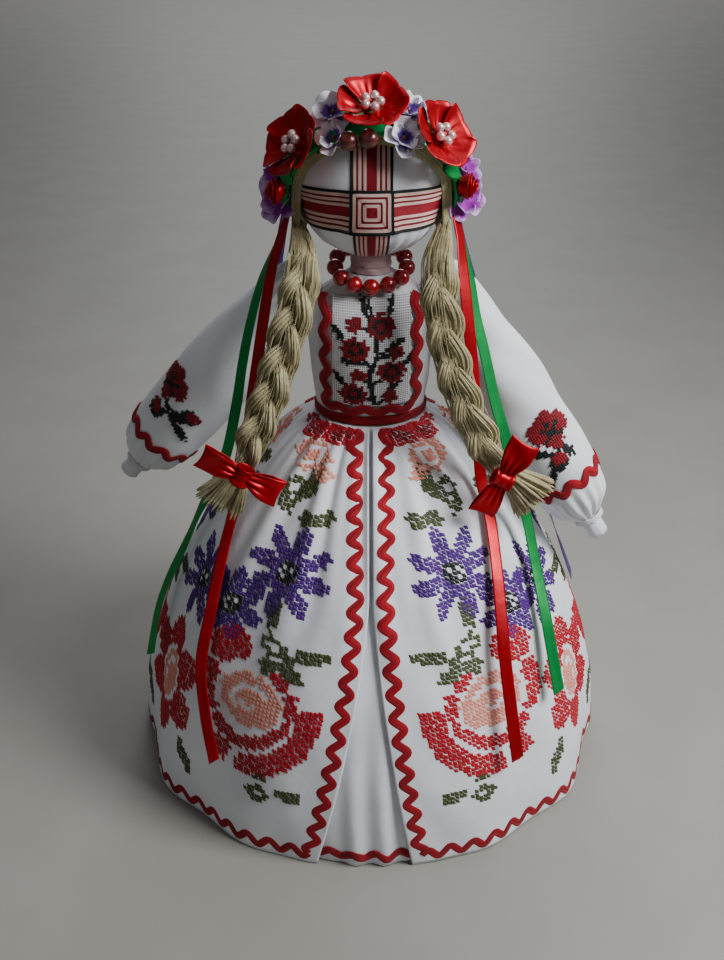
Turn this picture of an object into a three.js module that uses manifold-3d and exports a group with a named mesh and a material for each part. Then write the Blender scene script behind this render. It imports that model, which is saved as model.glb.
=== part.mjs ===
// Amulet doll: a folk doll of cloth, flax and thread that stands on its own stiff skirt.
// Millimetres, +Z up, the doll faces -Y. The origin is the centre of the base, on the table.
import * as THREE from 'three';
import { mergeVertices } from 'three/addons/utils/BufferGeometryUtils.js';
import Module from 'manifold-3d';

// Clearances
const seatGap = 0.3;
const skirtGap = 0.35;

// Base, card bell and body core
const baseThickness = 2;
const cardThickness = 1.2;
const cardHemRadius = 119;
const cardWaistRadius = 23.5;
const waistHeight = 190;
const bellRoundness = 2;
const bellFullness = 0.83;
const coreRadius = 8;
const coreTop = 284;

// Skirts
const clothThickness = 0.8;
const hemLift = 0.6;
const foldCount = 11;
const foldDepthAtHem = 2.2;
const foldDepthAtWaist = 0.3;
const skirtRoomAtHem = 1.7;
const skirtRoomAtWaist = 0.4;
const openingHalfWidthAtWaist = 0.9;
const openingLeftAtHem = 25.4;
const openingRightAtHem = 19.8;
const openingHeight = 128;
const openingFlare = 1.3;
const foldFade = 0.7;
const calmFolds = 1.2;
const skirtColumns = 32;
const overskirtColumns = 48;

// Rick-rack, as flat bands
const trimThickness = 0.9;
const trimSpare = 0.15;
const skirtTrimWidth = 5;
const skirtTrimInset = 3.2;
const underskirtTrimWidth = 4;
const chestTrimWidth = 4.4;
const cuffTrimWidth = 5;
const waistTieWidth = 5;
const waistTuck = 0.5;

// Torso: half-widths and half-depths at its main levels
const torsoBottomHalfWidth = 26.5;
const torsoBottomHalfDepth = 22.5;
const ribHeight = 236;
const ribHalfWidth = 31;
const bustHeight = 222;
const bustHalfWidth = 30;
const bustHalfDepth = 27.5;
const armpitHeight = 205;
const armpitHalfWidth = 28.5;
const armpitHalfDepth = 26;
const ribHalfDepth = 26;
const shoulderHeight = 245;
const shoulderHalfWidth = 30;
const shoulderHalfDepth = 21.5;
const slopeHeight = 251.5;
const slopeHalfWidth = 25.5;
const slopeHalfDepth = 15.5;
const collarHeight = 256;
const collarHalfWidth = 17.5;
const collarHalfDepth = 12.5;
const torsoTop = 260;
const torsoTopHalfWidth = 11;
const torsoTopHalfDepth = 10.3;
const torsoColumns = 24;

// Chest panel
const panelHalfWidth = 18;
const panelBottom = 202;
const panelTop = 252;
const panelThickness = 0.8;

// Neck and head
const neckRadius = 9.7;
const neckHeight = 14.6;
const headHalfWidth = 33;
const headHalfDepth = 31;
const headHalfHeight = 29.5;
const headHeight = 303;
const headBack = -2;

// Thread windings of the face cross
const threadRadius = 0.4;
const threadPitch = 1.45;
const threadRuns = 13;
const threadSides = 5;
const runSteps = 7;
const crossHeight = 296.3;

// Hair
const hairGap = 2;
const hairThickness = 2.2;
const hairEdge = -9;
const napeHeight = 281;
const braidRadius = 9;
const braidRootRadius = 3.6;
const braidTieRadius = 5;
const braidStrandTurns = 5;
const braidLobeDepth = 0.07;
const braidFlatness = 0.92;
const braidSwellShare = 0.16;
const braidDrawShare = 0.1;
const braidSides = 8;
const braidSteps = 24;
const tasselLength = 26;
const tasselEndRadius = 13;
const tasselFlatness = 0.68;

// Bows
const bowLoopLength = 21;
const bowLoopWidth = 13;
const bowLoopThickness = 3.6;
const bowLoopWall = 2.2;
const bowLoopStart = 1.5;
const bowPinch = 0.55;
const bowSpread = 1.15;
const bowKnotRadius = 5.2;

// Wreath
const wreathGap = 4.7;
const wreathThickness = 3;
const wreathWidth = 15;
const wreathLean = 30;
const wreathHeight = 298;
const wreathPlaneBack = -3;
const wreathEndAngle = -9;
const flowerRadius = 13.5;
const flowerLift = 4.6;
const flowerCup = 5;
const flowerBossRadius = 3.6;
const petalThickness = 1.4;
const petalNotch = 0.16;
const pearlRadius = 2.15;
const pearlRingRadius = 3.45;
const pansyRadius = 7;
const pansyCup = 1.6;
const pansyBossRadius = 2;
const pansyLift = 0.8;
const leafLength = 15;
const leafWidth = 7;
const leafThickness = 1.4;
const leafTaper = 0.35;
const rosebudRadius = 6.6;
const rosebudHeight = 8.5;
const berryRadius = 3.1;

// Necklace
const beadRadius = 4;
const beadCount = 13;
const beadPitch = 8.07;
const necklaceTilt = 20;
const necklaceHeight = 263.2;
const stringRadius = 0.9;

// Arms and sleeves
const shoulderX = 36;
const shoulderZ = 252;
const armRadius = 6.2;
const armBore = 6.5;
const armRootDepth = 12;
const armLength = 150;
const armEdge = 2;
const shoulderBallRadius = 13;
const sleeveFullRadius = 20;
const cuffPlace = 113;
const cuffRadius = 18.5;
const wristPlace = 137;
const wristRadius = 7.4;
const wristTieThickness = 1.6;
const wristTieWidth = 3;
const sleeveColumns = 16;
const armDrop = { left: 10, right: 4 };
const armRaise = { left: 25, right: 30 };

// Wreath ribbons
const ribbonWidth = 6.3;
const ribbonThickness = 0.5;

const wasm = await Module();
wasm.setup();

const colours = {
  card: 0xb49a72,
  whiteCloth: 0xf1f0ee,
  skin: 0xe9d9d6,
  aida: 0xf0eeea,
  flax: 0xb7a27c,
  redTrim: 0xb01220,
  redSatin: 0xc01018,
  greenSatin: 0x2f9a3a,
  violetSatin: 0x5a3fa0,
  pansy: 0x8d6cc4,
  pearl: 0xf1d3cf,
  bead: 0xb01420,
  berry: 0x8a3a2c,
  thread: 0xa41420,
};

const doll = new THREE.Group();

/** Adds one named mesh to a group, the whole doll unless another is given. */
function addPiece(name, geometry, colour, roughness = 0.9, metalness = 0, group = doll) {
  const material = new THREE.MeshStandardMaterial({ color: colour, roughness, metalness });
  const mesh = new THREE.Mesh(geometry, material);
  mesh.name = name;
  group.add(mesh);
  return mesh;
}

/** Signed volume of an indexed closed geometry. */
function signedVolume(geometry) {
  const position = geometry.getAttribute('position');
  const index = geometry.getIndex();
  const a = new THREE.Vector3();
  const b = new THREE.Vector3();
  const c = new THREE.Vector3();
  let volume = 0;
  for (let i = 0; i < index.count; i += 3) {
    a.fromBufferAttribute(position, index.getX(i));
    b.fromBufferAttribute(position, index.getX(i + 1));
    c.fromBufferAttribute(position, index.getX(i + 2));
    volume += a.dot(b.cross(c)) / 6;
  }
  return volume;
}

/** Shares the vertices of a closed geometry and turns its faces outward. */
function closed(source) {
  const bare = source.clone();
  bare.deleteAttribute('normal');
  bare.deleteAttribute('uv');
  const geometry = mergeVertices(bare, 1e-4);
  const old = geometry.getIndex();
  const kept = [];
  for (let i = 0; i < old.count; i += 3) {
    const [p, q, r] = [old.getX(i), old.getX(i + 1), old.getX(i + 2)];
    if (p !== q && q !== r && p !== r) {
      kept.push(p, q, r);
    }
  }
  geometry.setIndex(kept);
  if (signedVolume(geometry) < 0) {
    for (let i = 0; i < kept.length; i += 3) {
      [kept[i], kept[i + 1]] = [kept[i + 1], kept[i]];
    }
    geometry.setIndex(kept);
  }
  geometry.computeVertexNormals();
  return geometry;
}

/** A closed geometry as a solid for joins and cuts. */
function toSolid(geometry) {
  const shape = closed(geometry);
  return new wasm.Manifold(new wasm.Mesh({
    numProp: 3,
    vertProperties: new Float32Array(shape.getAttribute('position').array),
    triVerts: new Uint32Array(shape.getIndex().array),
  }));
}

/** A joined or cut solid as a geometry again. */
function toGeometry(solid) {
  const mesh = solid.getMesh();
  const geometry = new THREE.BufferGeometry();
  geometry.setAttribute('position', new THREE.BufferAttribute(new Float32Array(mesh.vertProperties), 3));
  geometry.setIndex(new THREE.BufferAttribute(new Uint32Array(mesh.triVerts), 1));
  geometry.computeVertexNormals();
  return geometry;
}

/** A geometry less every tool. */
function cut(geometry, ...tools) {
  return toGeometry(tools.map(toSolid).reduce((left, tool) => left.subtract(tool), toSolid(geometry)));
}

/** Several geometries as one. */
function join(...geometries) {
  return toGeometry(geometries.map(toSolid).reduce((all, next) => all.add(next)));
}

const mix = THREE.MathUtils.lerp;
const radians = THREE.MathUtils.degToRad;
const sides = { left: -1, right: 1 };

/** A closed geometry from points and triangles. */
function fromFaces(points, faces) {
  const geometry = new THREE.BufferGeometry();
  const numbers = points.flatMap((p) => [p.x, p.y, p.z]);
  geometry.setAttribute('position', new THREE.Float32BufferAttribute(numbers, 3));
  geometry.setIndex(faces);
  return closed(geometry);
}

/** Skins a row of rings of equally many points. A ring chain that isn't a loop is capped at both ends. */
function loft(rings, loop = false) {
  const around = rings[0].length;
  const points = rings.flat();
  const faces = [];
  const last = loop ? rings.length : rings.length - 1;
  for (let i = 0; i < last; i += 1) {
    const here = i * around;
    const next = ((i + 1) % rings.length) * around;
    for (let j = 0; j < around; j += 1) {
      const k = (j + 1) % around;
      faces.push(here + j, here + k, next + k, here + j, next + k, next + j);
    }
  }
  if (!loop) {
    for (const [ring, start, turn] of [[rings[0], 0, 1], [rings.at(-1), (rings.length - 1) * around, 0]]) {
      const centre = ring.reduce((sum, p) => sum.add(p), new THREE.Vector3()).divideScalar(around);
      const hub = points.push(centre) - 1;
      for (let j = 0; j < around; j += 1) {
        const k = (j + 1) % around;
        faces.push(...(turn ? [hub, start + k, start + j] : [hub, start + j, start + k]));
      }
    }
  }
  return fromFaces(points, faces);
}

/** Joins an outer and an inner grid of points into one closed sheet. */
function sheetSolid(outer, inner) {
  const rows = outer.length;
  const columns = outer[0].length;
  const points = [...outer.flat(), ...inner.flat()];
  const faces = [];
  const back = rows * columns;
  const at = (i, j) => i * columns + j;
  for (let i = 0; i < rows - 1; i += 1) {
    for (let j = 0; j < columns - 1; j += 1) {
      const [p, q, r, s] = [at(i, j), at(i, j + 1), at(i + 1, j + 1), at(i + 1, j)];
      faces.push(p, q, r, p, r, s, back + p, back + r, back + q, back + p, back + s, back + r);
    }
  }
  const rim = [];
  for (let j = 0; j < columns - 1; j += 1) {
    rim.push(at(0, j));
  }
  for (let i = 0; i < rows - 1; i += 1) {
    rim.push(at(i, columns - 1));
  }
  for (let j = columns - 1; j > 0; j -= 1) {
    rim.push(at(rows - 1, j));
  }
  for (let i = rows - 1; i > 0; i -= 1) {
    rim.push(at(i, 0));
  }
  rim.forEach((p, k) => {
    const q = rim[(k + 1) % rim.length];
    faces.push(p, back + p, back + q, p, back + q, q);
  });
  return fromFaces(points, faces);
}

/** A flat band along a row of stations, each with its place, width direction and outward normal. */
function flatBand(stations, width, thickness) {
  const grid = (depth) => stations.map(({ place, across, outward }) => {
    const half = across.clone().normalize().multiplyScalar(width / 2);
    const face = place.clone().addScaledVector(outward, depth);
    return [face.clone().sub(half), face.clone().add(half)];
  });
  return sheetSolid(grid(thickness), grid(0));
}

/** A round tube through a row of stations, each with its place and outward normal. */
function threadTube(stations, radius, around) {
  return loft(stations.map(({ place, outward }, i) => {
    const before = stations[Math.max(i - 1, 0)].place;
    const after = stations[Math.min(i + 1, stations.length - 1)].place;
    const along = after.clone().sub(before).normalize();
    const side = along.clone().cross(outward).normalize();
    const up = side.clone().cross(along).normalize();
    return ringAround(place, up, side, radius, radius, around);
  }));
}

/** Points round a centre, in the plane of two directions. */
function ringAround(centre, up, side, upRadius, sideRadius, around) {
  return Array.from({ length: around }, (_, k) => {
    const angle = (k / around) * 2 * Math.PI;
    return centre.clone()
      .addScaledVector(up, upRadius * Math.cos(angle))
      .addScaledVector(side, sideRadius * Math.sin(angle));
  });
}

/** A solid of revolution about Z from a closed or axis-to-axis profile of [radius, height] pairs. */
function turned(profile, columns) {
  const points = profile.map(([radius, height]) => new THREE.Vector2(radius, height));
  return closed(new THREE.LatheGeometry(points, columns).rotateX(Math.PI / 2));
}

/** A plain round pillar on the axis. */
function pillar(radius, bottom, top, columns) {
  return turned([[0, bottom], [radius, bottom], [radius, top], [0, top]], columns);
}

// Skirt shapes, shared by the card bell, both skirts and their trims
const skirtLevels = [0, 0.22, 0.45, 0.65, 0.8, 0.92, 1];
const bell = (share, hem, waist) => waist + (hem - waist) * (1 - share ** bellRoundness) ** bellFullness;
const cardRadius = (share) => bell(share, cardHemRadius, cardWaistRadius);
const underskirtInner = (share) => cardRadius(share) + skirtGap;
const underskirtOuter = (share) => underskirtInner(share) + clothThickness;

/** A skirt radius between its levels, as straight as the cloth between them. */
function alongLevels(radiusAt, height) {
  const share = height / waistHeight;
  const upper = Math.max(skirtLevels.findIndex((level) => level >= share), 1);
  const [low, high] = [skirtLevels[upper - 1], skirtLevels[upper]];
  return mix(radiusAt(low), radiusAt(high), (share - low) / (high - low));
}

/** Half the gap between the overskirt's front edges on one side at a level. */
function openingHalfWidth(share, atHem) {
  const opened = Math.max(1 - (share * waistHeight) / openingHeight, 0);
  return openingHalfWidthAtWaist + (atHem - openingHalfWidthAtWaist) * opened ** openingFlare;
}

/** Angle from straight ahead of a point of the overskirt: 0 at its right front edge, 1 at its left one. */
function overskirtAngle(share, across) {
  const radius = underskirtOuter(share) + skirtRoomAtWaist;
  const right = Math.asin(openingHalfWidth(share, openingRightAtHem) / radius);
  const left = 2 * Math.PI - Math.asin(openingHalfWidth(share, openingLeftAtHem) / radius);
  return mix(right, left, across);
}

/** Inner radius of the overskirt, with folds that die out at the waist and at the front edges. */
function overskirtInner(share, across) {
  const room = mix(skirtRoomAtHem, skirtRoomAtWaist, share);
  const depth = mix(foldDepthAtHem, foldDepthAtWaist, share ** foldFade);
  const calm = Math.min(1, (Math.min(across, 1 - across) * foldCount) / calmFolds);
  return underskirtOuter(share) + room + depth * calm * (1 - Math.cos(2 * Math.PI * foldCount * across));
}

/** A point at an angle from straight ahead, turning toward +X. */
function roundAxis(radius, angle, height) {
  return new THREE.Vector3(radius * Math.sin(angle), -radius * Math.cos(angle), height);
}

/** A point on the overskirt, off its outer face by lift. */
function onOverskirt(height, across, lift) {
  const share = height / waistHeight;
  const upper = Math.max(skirtLevels.findIndex((level) => level >= share), 1);
  const [low, high] = [skirtLevels[upper - 1], skirtLevels[upper]];
  const column = Math.min(Math.floor(across * overskirtColumns), overskirtColumns - 1);
  const corner = (level, edge) => {
    const place = edge / overskirtColumns;
    const radius = overskirtInner(level, place) + clothThickness + lift;
    return roundAxis(radius, overskirtAngle(level, place), level * waistHeight);
  };
  const sideways = across * overskirtColumns - column;
  const bottom = corner(low, column).lerp(corner(low, column + 1), sideways);
  const top = corner(high, column).lerp(corner(high, column + 1), sideways);
  return bottom.lerp(top, (share - low) / (high - low));
}

function addBase() {
  const discRadius = cardHemRadius - cardThickness - skirtGap;
  addPiece('base_disc', pillar(discRadius, 0, baseThickness, skirtColumns), colours.card, 0.95);
  const outer = skirtLevels.map((level) => [cardRadius(level), level * waistHeight]);
  const inner = outer.map(([radius, height]) => [radius - cardThickness, height]).reverse();
  addPiece('skirt_cone', turned([...outer, ...inner, outer[0]], skirtColumns), colours.card, 0.95);
  addPiece('body_core', pillar(coreRadius, baseThickness + seatGap, coreTop, 16), colours.whiteCloth);
}

function addUnderskirt() {
  const rise = (level) => Math.max(level * waistHeight, hemLift);
  const outer = skirtLevels.map((level) => [underskirtOuter(level), rise(level)]);
  const inner = skirtLevels.map((level) => [underskirtInner(level), rise(level)]).reverse();
  addPiece('underskirt', turned([...outer, ...inner, outer[0]], skirtColumns), colours.whiteCloth);
  const [low, high] = [hemLift + skirtTrimInset, hemLift + skirtTrimInset + underskirtTrimWidth];
  const atLow = alongLevels(underskirtOuter, low) + seatGap;
  const atHigh = alongLevels(underskirtOuter, high) + seatGap;
  const trim = turned([
    [atLow, low], [atLow + trimThickness, low], [atHigh + trimThickness, high], [atHigh, high], [atLow, low],
  ], skirtColumns);
  addPiece('underskirt_trim', trim, colours.redTrim);
}

function addOverskirt() {
  const places = Array.from({ length: overskirtColumns + 1 }, (_, j) => j / overskirtColumns);
  const grid = (thickness) => skirtLevels.map((level) => places.map((across) => {
    const radius = overskirtInner(level, across) + thickness;
    return roundAxis(radius, overskirtAngle(level, across), Math.max(level * waistHeight, hemLift));
  }));
  addPiece('overskirt', sheetSolid(grid(clothThickness), grid(0)), colours.whiteCloth);
  addPiece('overskirt_trim', overskirtTrim(), colours.redTrim);
}

/** The band that runs down the left front edge, round the hem and up the right front edge. */
function overskirtTrim() {
  const lift = seatGap + trimSpare;
  const half = skirtTrimWidth / 2;
  const hemMiddle = hemLift + skirtTrimInset + half;
  const edgeMiddle = skirtTrimInset + half;
  const acrossFor = (height, distance) => {
    const share = height / waistHeight;
    const girth = underskirtOuter(share) * (overskirtAngle(share, 1) - overskirtAngle(share, 0));
    return distance / girth;
  };
  const heights = skirtLevels
    .map((level) => level * waistHeight)
    .filter((height) => height > hemMiddle + skirtTrimWidth);
  const topHeight = waistHeight - waistTuck;
  const risers = [...heights.slice(0, -1), topHeight];
  const edgePair = (height, leftSide, nearDrop, farRise) => {
    const near = acrossFor(height, edgeMiddle - half);
    const far = acrossFor(height, edgeMiddle + half);
    const [a, b] = leftSide ? [1 - near, 1 - far] : [near, far];
    return [onOverskirt(height - nearDrop, a, lift), onOverskirt(height + farRise, b, lift)];
  };
  const pairs = risers.toReversed().map((height) => edgePair(height, true, 0, 0));
  pairs.push(edgePair(hemMiddle, true, half, half));
  for (let j = overskirtColumns - 1; j > 0; j -= 1) {
    const across = j / overskirtColumns;
    pairs.push([onOverskirt(hemMiddle - half, across, lift), onOverskirt(hemMiddle + half, across, lift)]);
  }
  pairs.push(edgePair(hemMiddle, false, half, half));
  pairs.push(...risers.map((height) => edgePair(height, false, 0, 0)));
  const thicken = (point) => {
    const outward = new THREE.Vector3(point.x, point.y, 0).normalize();
    return point.clone().addScaledVector(outward, trimThickness);
  };
  return loft(pairs.map(([edge, inside]) => [edge, inside, thicken(inside), thicken(edge)]));
}

// Torso shape, shared by the torso, the chest panel, its trim and the waist tie
const torsoLevels = [
  { height: waistHeight + seatGap, wide: torsoBottomHalfWidth, deep: torsoBottomHalfDepth },
  { height: armpitHeight, wide: armpitHalfWidth, deep: armpitHalfDepth },
  { height: bustHeight, wide: bustHalfWidth, deep: bustHalfDepth },
  { height: ribHeight, wide: ribHalfWidth, deep: ribHalfDepth },
  { height: shoulderHeight, wide: shoulderHalfWidth, deep: shoulderHalfDepth },
  { height: slopeHeight, wide: slopeHalfWidth, deep: slopeHalfDepth },
  { height: collarHeight, wide: collarHalfWidth, deep: collarHalfDepth },
  { height: torsoTop, wide: torsoTopHalfWidth, deep: torsoTopHalfDepth },
];

/** Half-width and half-depth of the torso at a height. */
function torsoAt(height) {
  const upper = Math.max(torsoLevels.findIndex((level) => level.height >= height), 1);
  const [low, high] = [torsoLevels[upper - 1], torsoLevels[upper]];
  const share = (height - low.height) / (high.height - low.height);
  return { wide: mix(low.wide, high.wide, share), deep: mix(low.deep, high.deep, share) };
}

/** A point on the torso's front at x and height, off its surface by lift. */
function onTorso(x, height, lift) {
  const { wide, deep } = torsoAt(height);
  const above = torsoAt(Math.min(height + 1, torsoTop));
  const below = torsoAt(Math.max(height - 1, waistHeight + seatGap));
  const sine = x / wide;
  const cosine = Math.sqrt(Math.max(1 - sine * sine, 0));
  const slope = (below.deep - above.deep) / 2;
  const outward = new THREE.Vector3(sine / wide, -cosine / deep, (slope * cosine) / deep).normalize();
  const place = new THREE.Vector3(x, -deep * cosine, height).addScaledVector(outward, lift);
  return { place, outward };
}

// Arms: each is built up its own +Z from the shoulder and then turned into place
const armDirections = {
  left: new THREE.Vector3(-70, 20, -83.5).normalize(),
  right: new THREE.Vector3(62, -15, -95).normalize(),
};
const sleeveShape = [
  [shoulderBallRadius * 0.75, -shoulderBallRadius * 0.66],
  [shoulderBallRadius, 0],
  [16.6, 26],
  [sleeveFullRadius, 56],
  [sleeveFullRadius, 80],
  [19.6, 100],
  [cuffRadius, cuffPlace + cuffTrimWidth / 2],
  [16.2, 127],
  [10.5, 134],
  [wristRadius, wristPlace],
];

/** Sleeve radius at a place along the arm. */
function sleeveRadius(place) {
  const upper = Math.max(sleeveShape.findIndex(([, at]) => at >= place), 1);
  const [[r0, s0], [r1, s1]] = [sleeveShape[upper - 1], sleeveShape[upper]];
  return mix(r0, r1, (place - s0) / (s1 - s0));
}

/** Room in the torso for a sleeve's top, with the arm let down by drop degrees. */
function armhole(side, drop) {
  const spare = 2 * seatGap;
  const top = sleeveShape.filter(([, at]) => at < cuffPlace / 2);
  const profile = top.map(([radius, at]) => [radius + spare, at]);
  const room = turned([[0, -shoulderBallRadius - spare], ...profile, [0, top.at(-1)[1]]], 2 * sleeveColumns);
  const turn = new THREE.Quaternion().setFromUnitVectors(new THREE.Vector3(0, 0, 1), armDirections[side]);
  room.applyQuaternion(turn).rotateY(radians(sides[side] * drop));
  return room.translate(sides[side] * shoulderX, 0, shoulderZ);
}

/** An oval ring level with the table. */
function ovalRing(height, wide, deep) {
  const centre = new THREE.Vector3(0, 0, height);
  return ringAround(centre, new THREE.Vector3(1, 0, 0), new THREE.Vector3(0, 1, 0), wide, deep, torsoColumns);
}

function addTorso() {
  const rings = torsoLevels.map(({ height, wide, deep }) => ovalRing(height, wide, deep));
  const raiseShares = [1 / 3, 0.67, 1];
  const poses = (side) => [armDrop[side], 0, ...raiseShares.map((share) => -share * armRaise[side])];
  const armholes = Object.keys(sides).flatMap((side) => poses(side).map((drop) => armhole(side, drop)));
  const bore = pillar(coreRadius + seatGap, waistHeight - 1, torsoTop + 1, 16);
  addPiece('torso', cut(loft(rings), bore, ...armholes), colours.whiteCloth);
  const tieBottom = waistHeight + 2 * seatGap;
  const tieRing = (height, lift) => {
    const { wide, deep } = torsoAt(height);
    return ovalRing(height, wide + lift, deep + lift);
  };
  const [near, far] = [seatGap, seatGap + trimThickness];
  const tieTop = tieBottom + waistTieWidth;
  const corners = [[tieBottom, near], [tieBottom, far], [tieTop, far], [tieTop, near]];
  addPiece('waist_tie', loft(corners.map(([height, lift]) => tieRing(height, lift)), true), colours.redTrim);
}

function addChest() {
  const columns = 8;
  const between = torsoLevels
    .map(({ height }) => height)
    .filter((height) => height > panelBottom && height < panelTop);
  const heights = [panelBottom, ...between, panelTop];
  const places = Array.from({ length: columns + 1 }, (_, j) => (2 * j / columns - 1) * panelHalfWidth);
  const grid = (lift) => heights.map((height) => places.map((x) => onTorso(x, height, lift).place));
  const lift = seatGap + trimSpare;
  addPiece('chest_panel', sheetSolid(grid(lift + panelThickness), grid(lift)), colours.aida);
  addPiece('chest_trim', chestTrim(heights, lift), colours.redTrim);
}

/** The U of rick-rack round the chest panel. */
function chestTrim(heights, lift) {
  const away = 2 * seatGap + chestTrimWidth / 2;
  const reach = panelHalfWidth + away;
  const bottom = panelBottom - away;
  const corner = 3.2;
  const path = heights
    .filter((height) => height > bottom + corner)
    .map((height) => [-reach, height])
    .reverse();
  const arcSteps = 4;
  for (let k = 0; k <= arcSteps; k += 1) {
    const angle = (k / arcSteps) * (Math.PI / 2);
    path.push([-reach + corner * (1 - Math.cos(angle)), bottom + corner * (1 - Math.sin(angle))]);
  }
  const mirrored = path.map(([x, height]) => [-x, height]).reverse();
  const level = [-0.75, -0.25, 0.25, 0.75].map((share) => [share * (reach - corner), bottom]);
  path.push(...level, ...mirrored);
  const stations = path.map(([x, height], i) => {
    const [x0, z0] = path[Math.max(i - 1, 0)];
    const [x1, z1] = path[Math.min(i + 1, path.length - 1)];
    const length = Math.hypot(x1 - x0, z1 - z0);
    const [sideX, sideZ] = [(z1 - z0) / length, -(x1 - x0) / length];
    const half = chestTrimWidth / 2;
    const inner = onTorso(x + sideX * half, height + sideZ * half, lift);
    const outer = onTorso(x - sideX * half, height - sideZ * half, lift);
    return [outer, inner];
  });
  return loft(stations.map(([outer, inner]) => [
    outer.place,
    inner.place,
    inner.place.clone().addScaledVector(inner.outward, trimThickness),
    outer.place.clone().addScaledVector(outer.outward, trimThickness),
  ]));
}

// Head shape, shared by the head, the windings, the hair and the wreath
const headCentre = new THREE.Vector3(0, headBack, headHeight);
const headSize = new THREE.Vector3(headHalfWidth, headHalfDepth, headHalfHeight);

/** The point of the head's surface along a direction from its centre, off the surface by lift. */
function onHead(direction, lift) {
  const place = direction.clone().divideScalar(direction.clone().divide(headSize).length());
  const outward = place.clone().divide(headSize).divide(headSize).normalize();
  return { place: place.addScaledVector(outward, lift).add(headCentre), outward };
}

const headShape = (more, columns, rows) => closed(new THREE.SphereGeometry(1, columns, rows)
  .rotateX(Math.PI / 2)
  .scale(headHalfWidth + more, headHalfDepth + more, headHalfHeight + more)
  .translate(headCentre.x, headCentre.y, headCentre.z));

function addHead() {
  const bore = pillar(coreRadius + seatGap, torsoTop, coreTop + seatGap, 16);
  addPiece('head', cut(headShape(0, 24, 14), bore), colours.whiteCloth);
  const neckBottom = torsoTop + seatGap;
  const [inner, outer] = [coreRadius + seatGap, neckRadius];
  const neckTop = neckBottom + neckHeight;
  const tube = turned([
    [inner, neckBottom], [outer, neckBottom], [outer, neckTop], [inner, neckTop], [inner, neckBottom],
  ], 16);
  addPiece('neck_wrap', cut(tube, headShape(seatGap, 24, 14)), colours.skin);
}

/** Least distance between stretches of one route that aren't neighbours, less the thread itself. */
function leastGap(stations, radius, skip) {
  let least = Infinity;
  for (let i = 0; i < stations.length; i += 1) {
    for (let j = i + skip; j < stations.length; j += 1) {
      least = Math.min(least, stations[i].place.distanceTo(stations[j].place) - 2 * radius);
    }
  }
  return least;
}

/** One unbroken thread in parallel runs: routeAt(run, share) gives the way and lift of a point on a run. */
function winding(name, routeAt) {
  const stations = [];
  for (let run = 0; run < threadRuns; run += 1) {
    for (let step = 0; step <= runSteps; step += 1) {
      const share = run % 2 === 0 ? step / runSteps : 1 - step / runSteps;
      stations.push(routeAt(run, share, 0));
    }
    if (run < threadRuns - 1) {
      stations.push(routeAt(run + 0.5, run % 2 === 0 ? 1 : 0, run % 2 === 0 ? 1 : -1));
    }
  }
  const gap = leastGap(stations, threadRadius, 3);
  console.log(`${name}: least gap of the thread to itself ${gap.toFixed(2)} mm`);
  return threadTube(stations, threadRadius, threadSides);
}

function addFaceCross() {
  const innerLift = seatGap + threadRadius + 0.2;
  const outerLift = innerLift + 2 * threadRadius + seatGap + 0.25;
  const chinAngle = -66;
  const crownAngle = 52;
  const turnReach = 1.6;
  const chinNarrowing = 0.14;
  const vertical = (run, share, turn) => {
    const angle = radians(mix(chinAngle, crownAngle, share) + turn * turnReach);
    const drawnIn = 1 - chinNarrowing * Math.max(-Math.sin(angle), 0);
    const x = (run - (threadRuns - 1) / 2) * threadPitch * drawnIn;
    const way = new THREE.Vector3(x, -headHalfDepth * Math.cos(angle), headHalfHeight * Math.sin(angle));
    return onHead(way, innerLift);
  };
  const sideAngle = 76;
  const sideDrop = 2;
  const sideNarrowing = 0.12;
  const crossSpan = (threadRuns * threadPitch) / 2;
  const horizontal = (run, share, turn) => {
    const angle = radians(mix(-sideAngle, sideAngle, share) + turn * turnReach);
    const sideways = 1 - Math.cos(angle);
    const fromMiddle = (run - (threadRuns - 1) / 2) * threadPitch;
    const height = crossHeight - sideDrop * sideways + fromMiddle * (1 - sideNarrowing * sideways);
    const level = (height - headHeight) / headHalfHeight;
    const girth = Math.sqrt(1 - level * level);
    const way = new THREE.Vector3(girth * Math.sin(angle), -girth * Math.cos(angle), level);
    way.multiply(headSize);
    const bump = THREE.MathUtils.smoothstep(crossSpan + 8 - Math.abs(way.x), 0, 7);
    return onHead(way, mix(innerLift, outerLift, bump));
  };
  addPiece('cross_vertical', winding('cross_vertical', vertical), colours.thread);
  addPiece('cross_horizontal', winding('cross_horizontal', horizontal), colours.thread);
}

function addHairCap() {
  const outer = headShape(hairGap + hairThickness, 20, 12);
  const inner = headShape(hairGap, 20, 12);
  const wide = 4 * headHalfWidth;
  const face = new THREE.BoxGeometry(wide, wide, wide).translate(0, hairEdge - wide / 2, headHeight);
  const nape = new THREE.BoxGeometry(wide, wide, wide).translate(0, 0, napeHeight - wide / 2);
  addPiece('hair_cap', cut(outer, inner, face, nape), colours.flax);
}

// Braids: the middle of each braid from the temple to its bow
const braidRoutes = {
  left: [
    [-33, -11.5, 287], [-29, -25.5, 276], [-31.5, -32.5, 262], [-38.5, -39, 239],
    [-46, -44, 216], [-55, -48, 193], [-59, -49, 182],
  ],
  right: [
    [33, -11.5, 287], [28, -25.5, 276], [29.5, -32.5, 262], [34, -39, 239],
    [41, -44.5, 216], [51.5, -48.5, 194], [60, -49, 180],
  ],
};
const tasselDirections = {
  left: new THREE.Vector3(-0.55, -0.05, -0.83).normalize(),
  right: new THREE.Vector3(0.74, -0.05, -0.67).normalize(),
};
const bowDirections = {
  left: new THREE.Vector3(-0.87, 0, 0.5).normalize(),
  right: new THREE.Vector3(0.45, 0, 0.89).normalize(),
};

const toPoints = (route) => route.map(([x, y, z]) => new THREE.Vector3(x, y, z));

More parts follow.
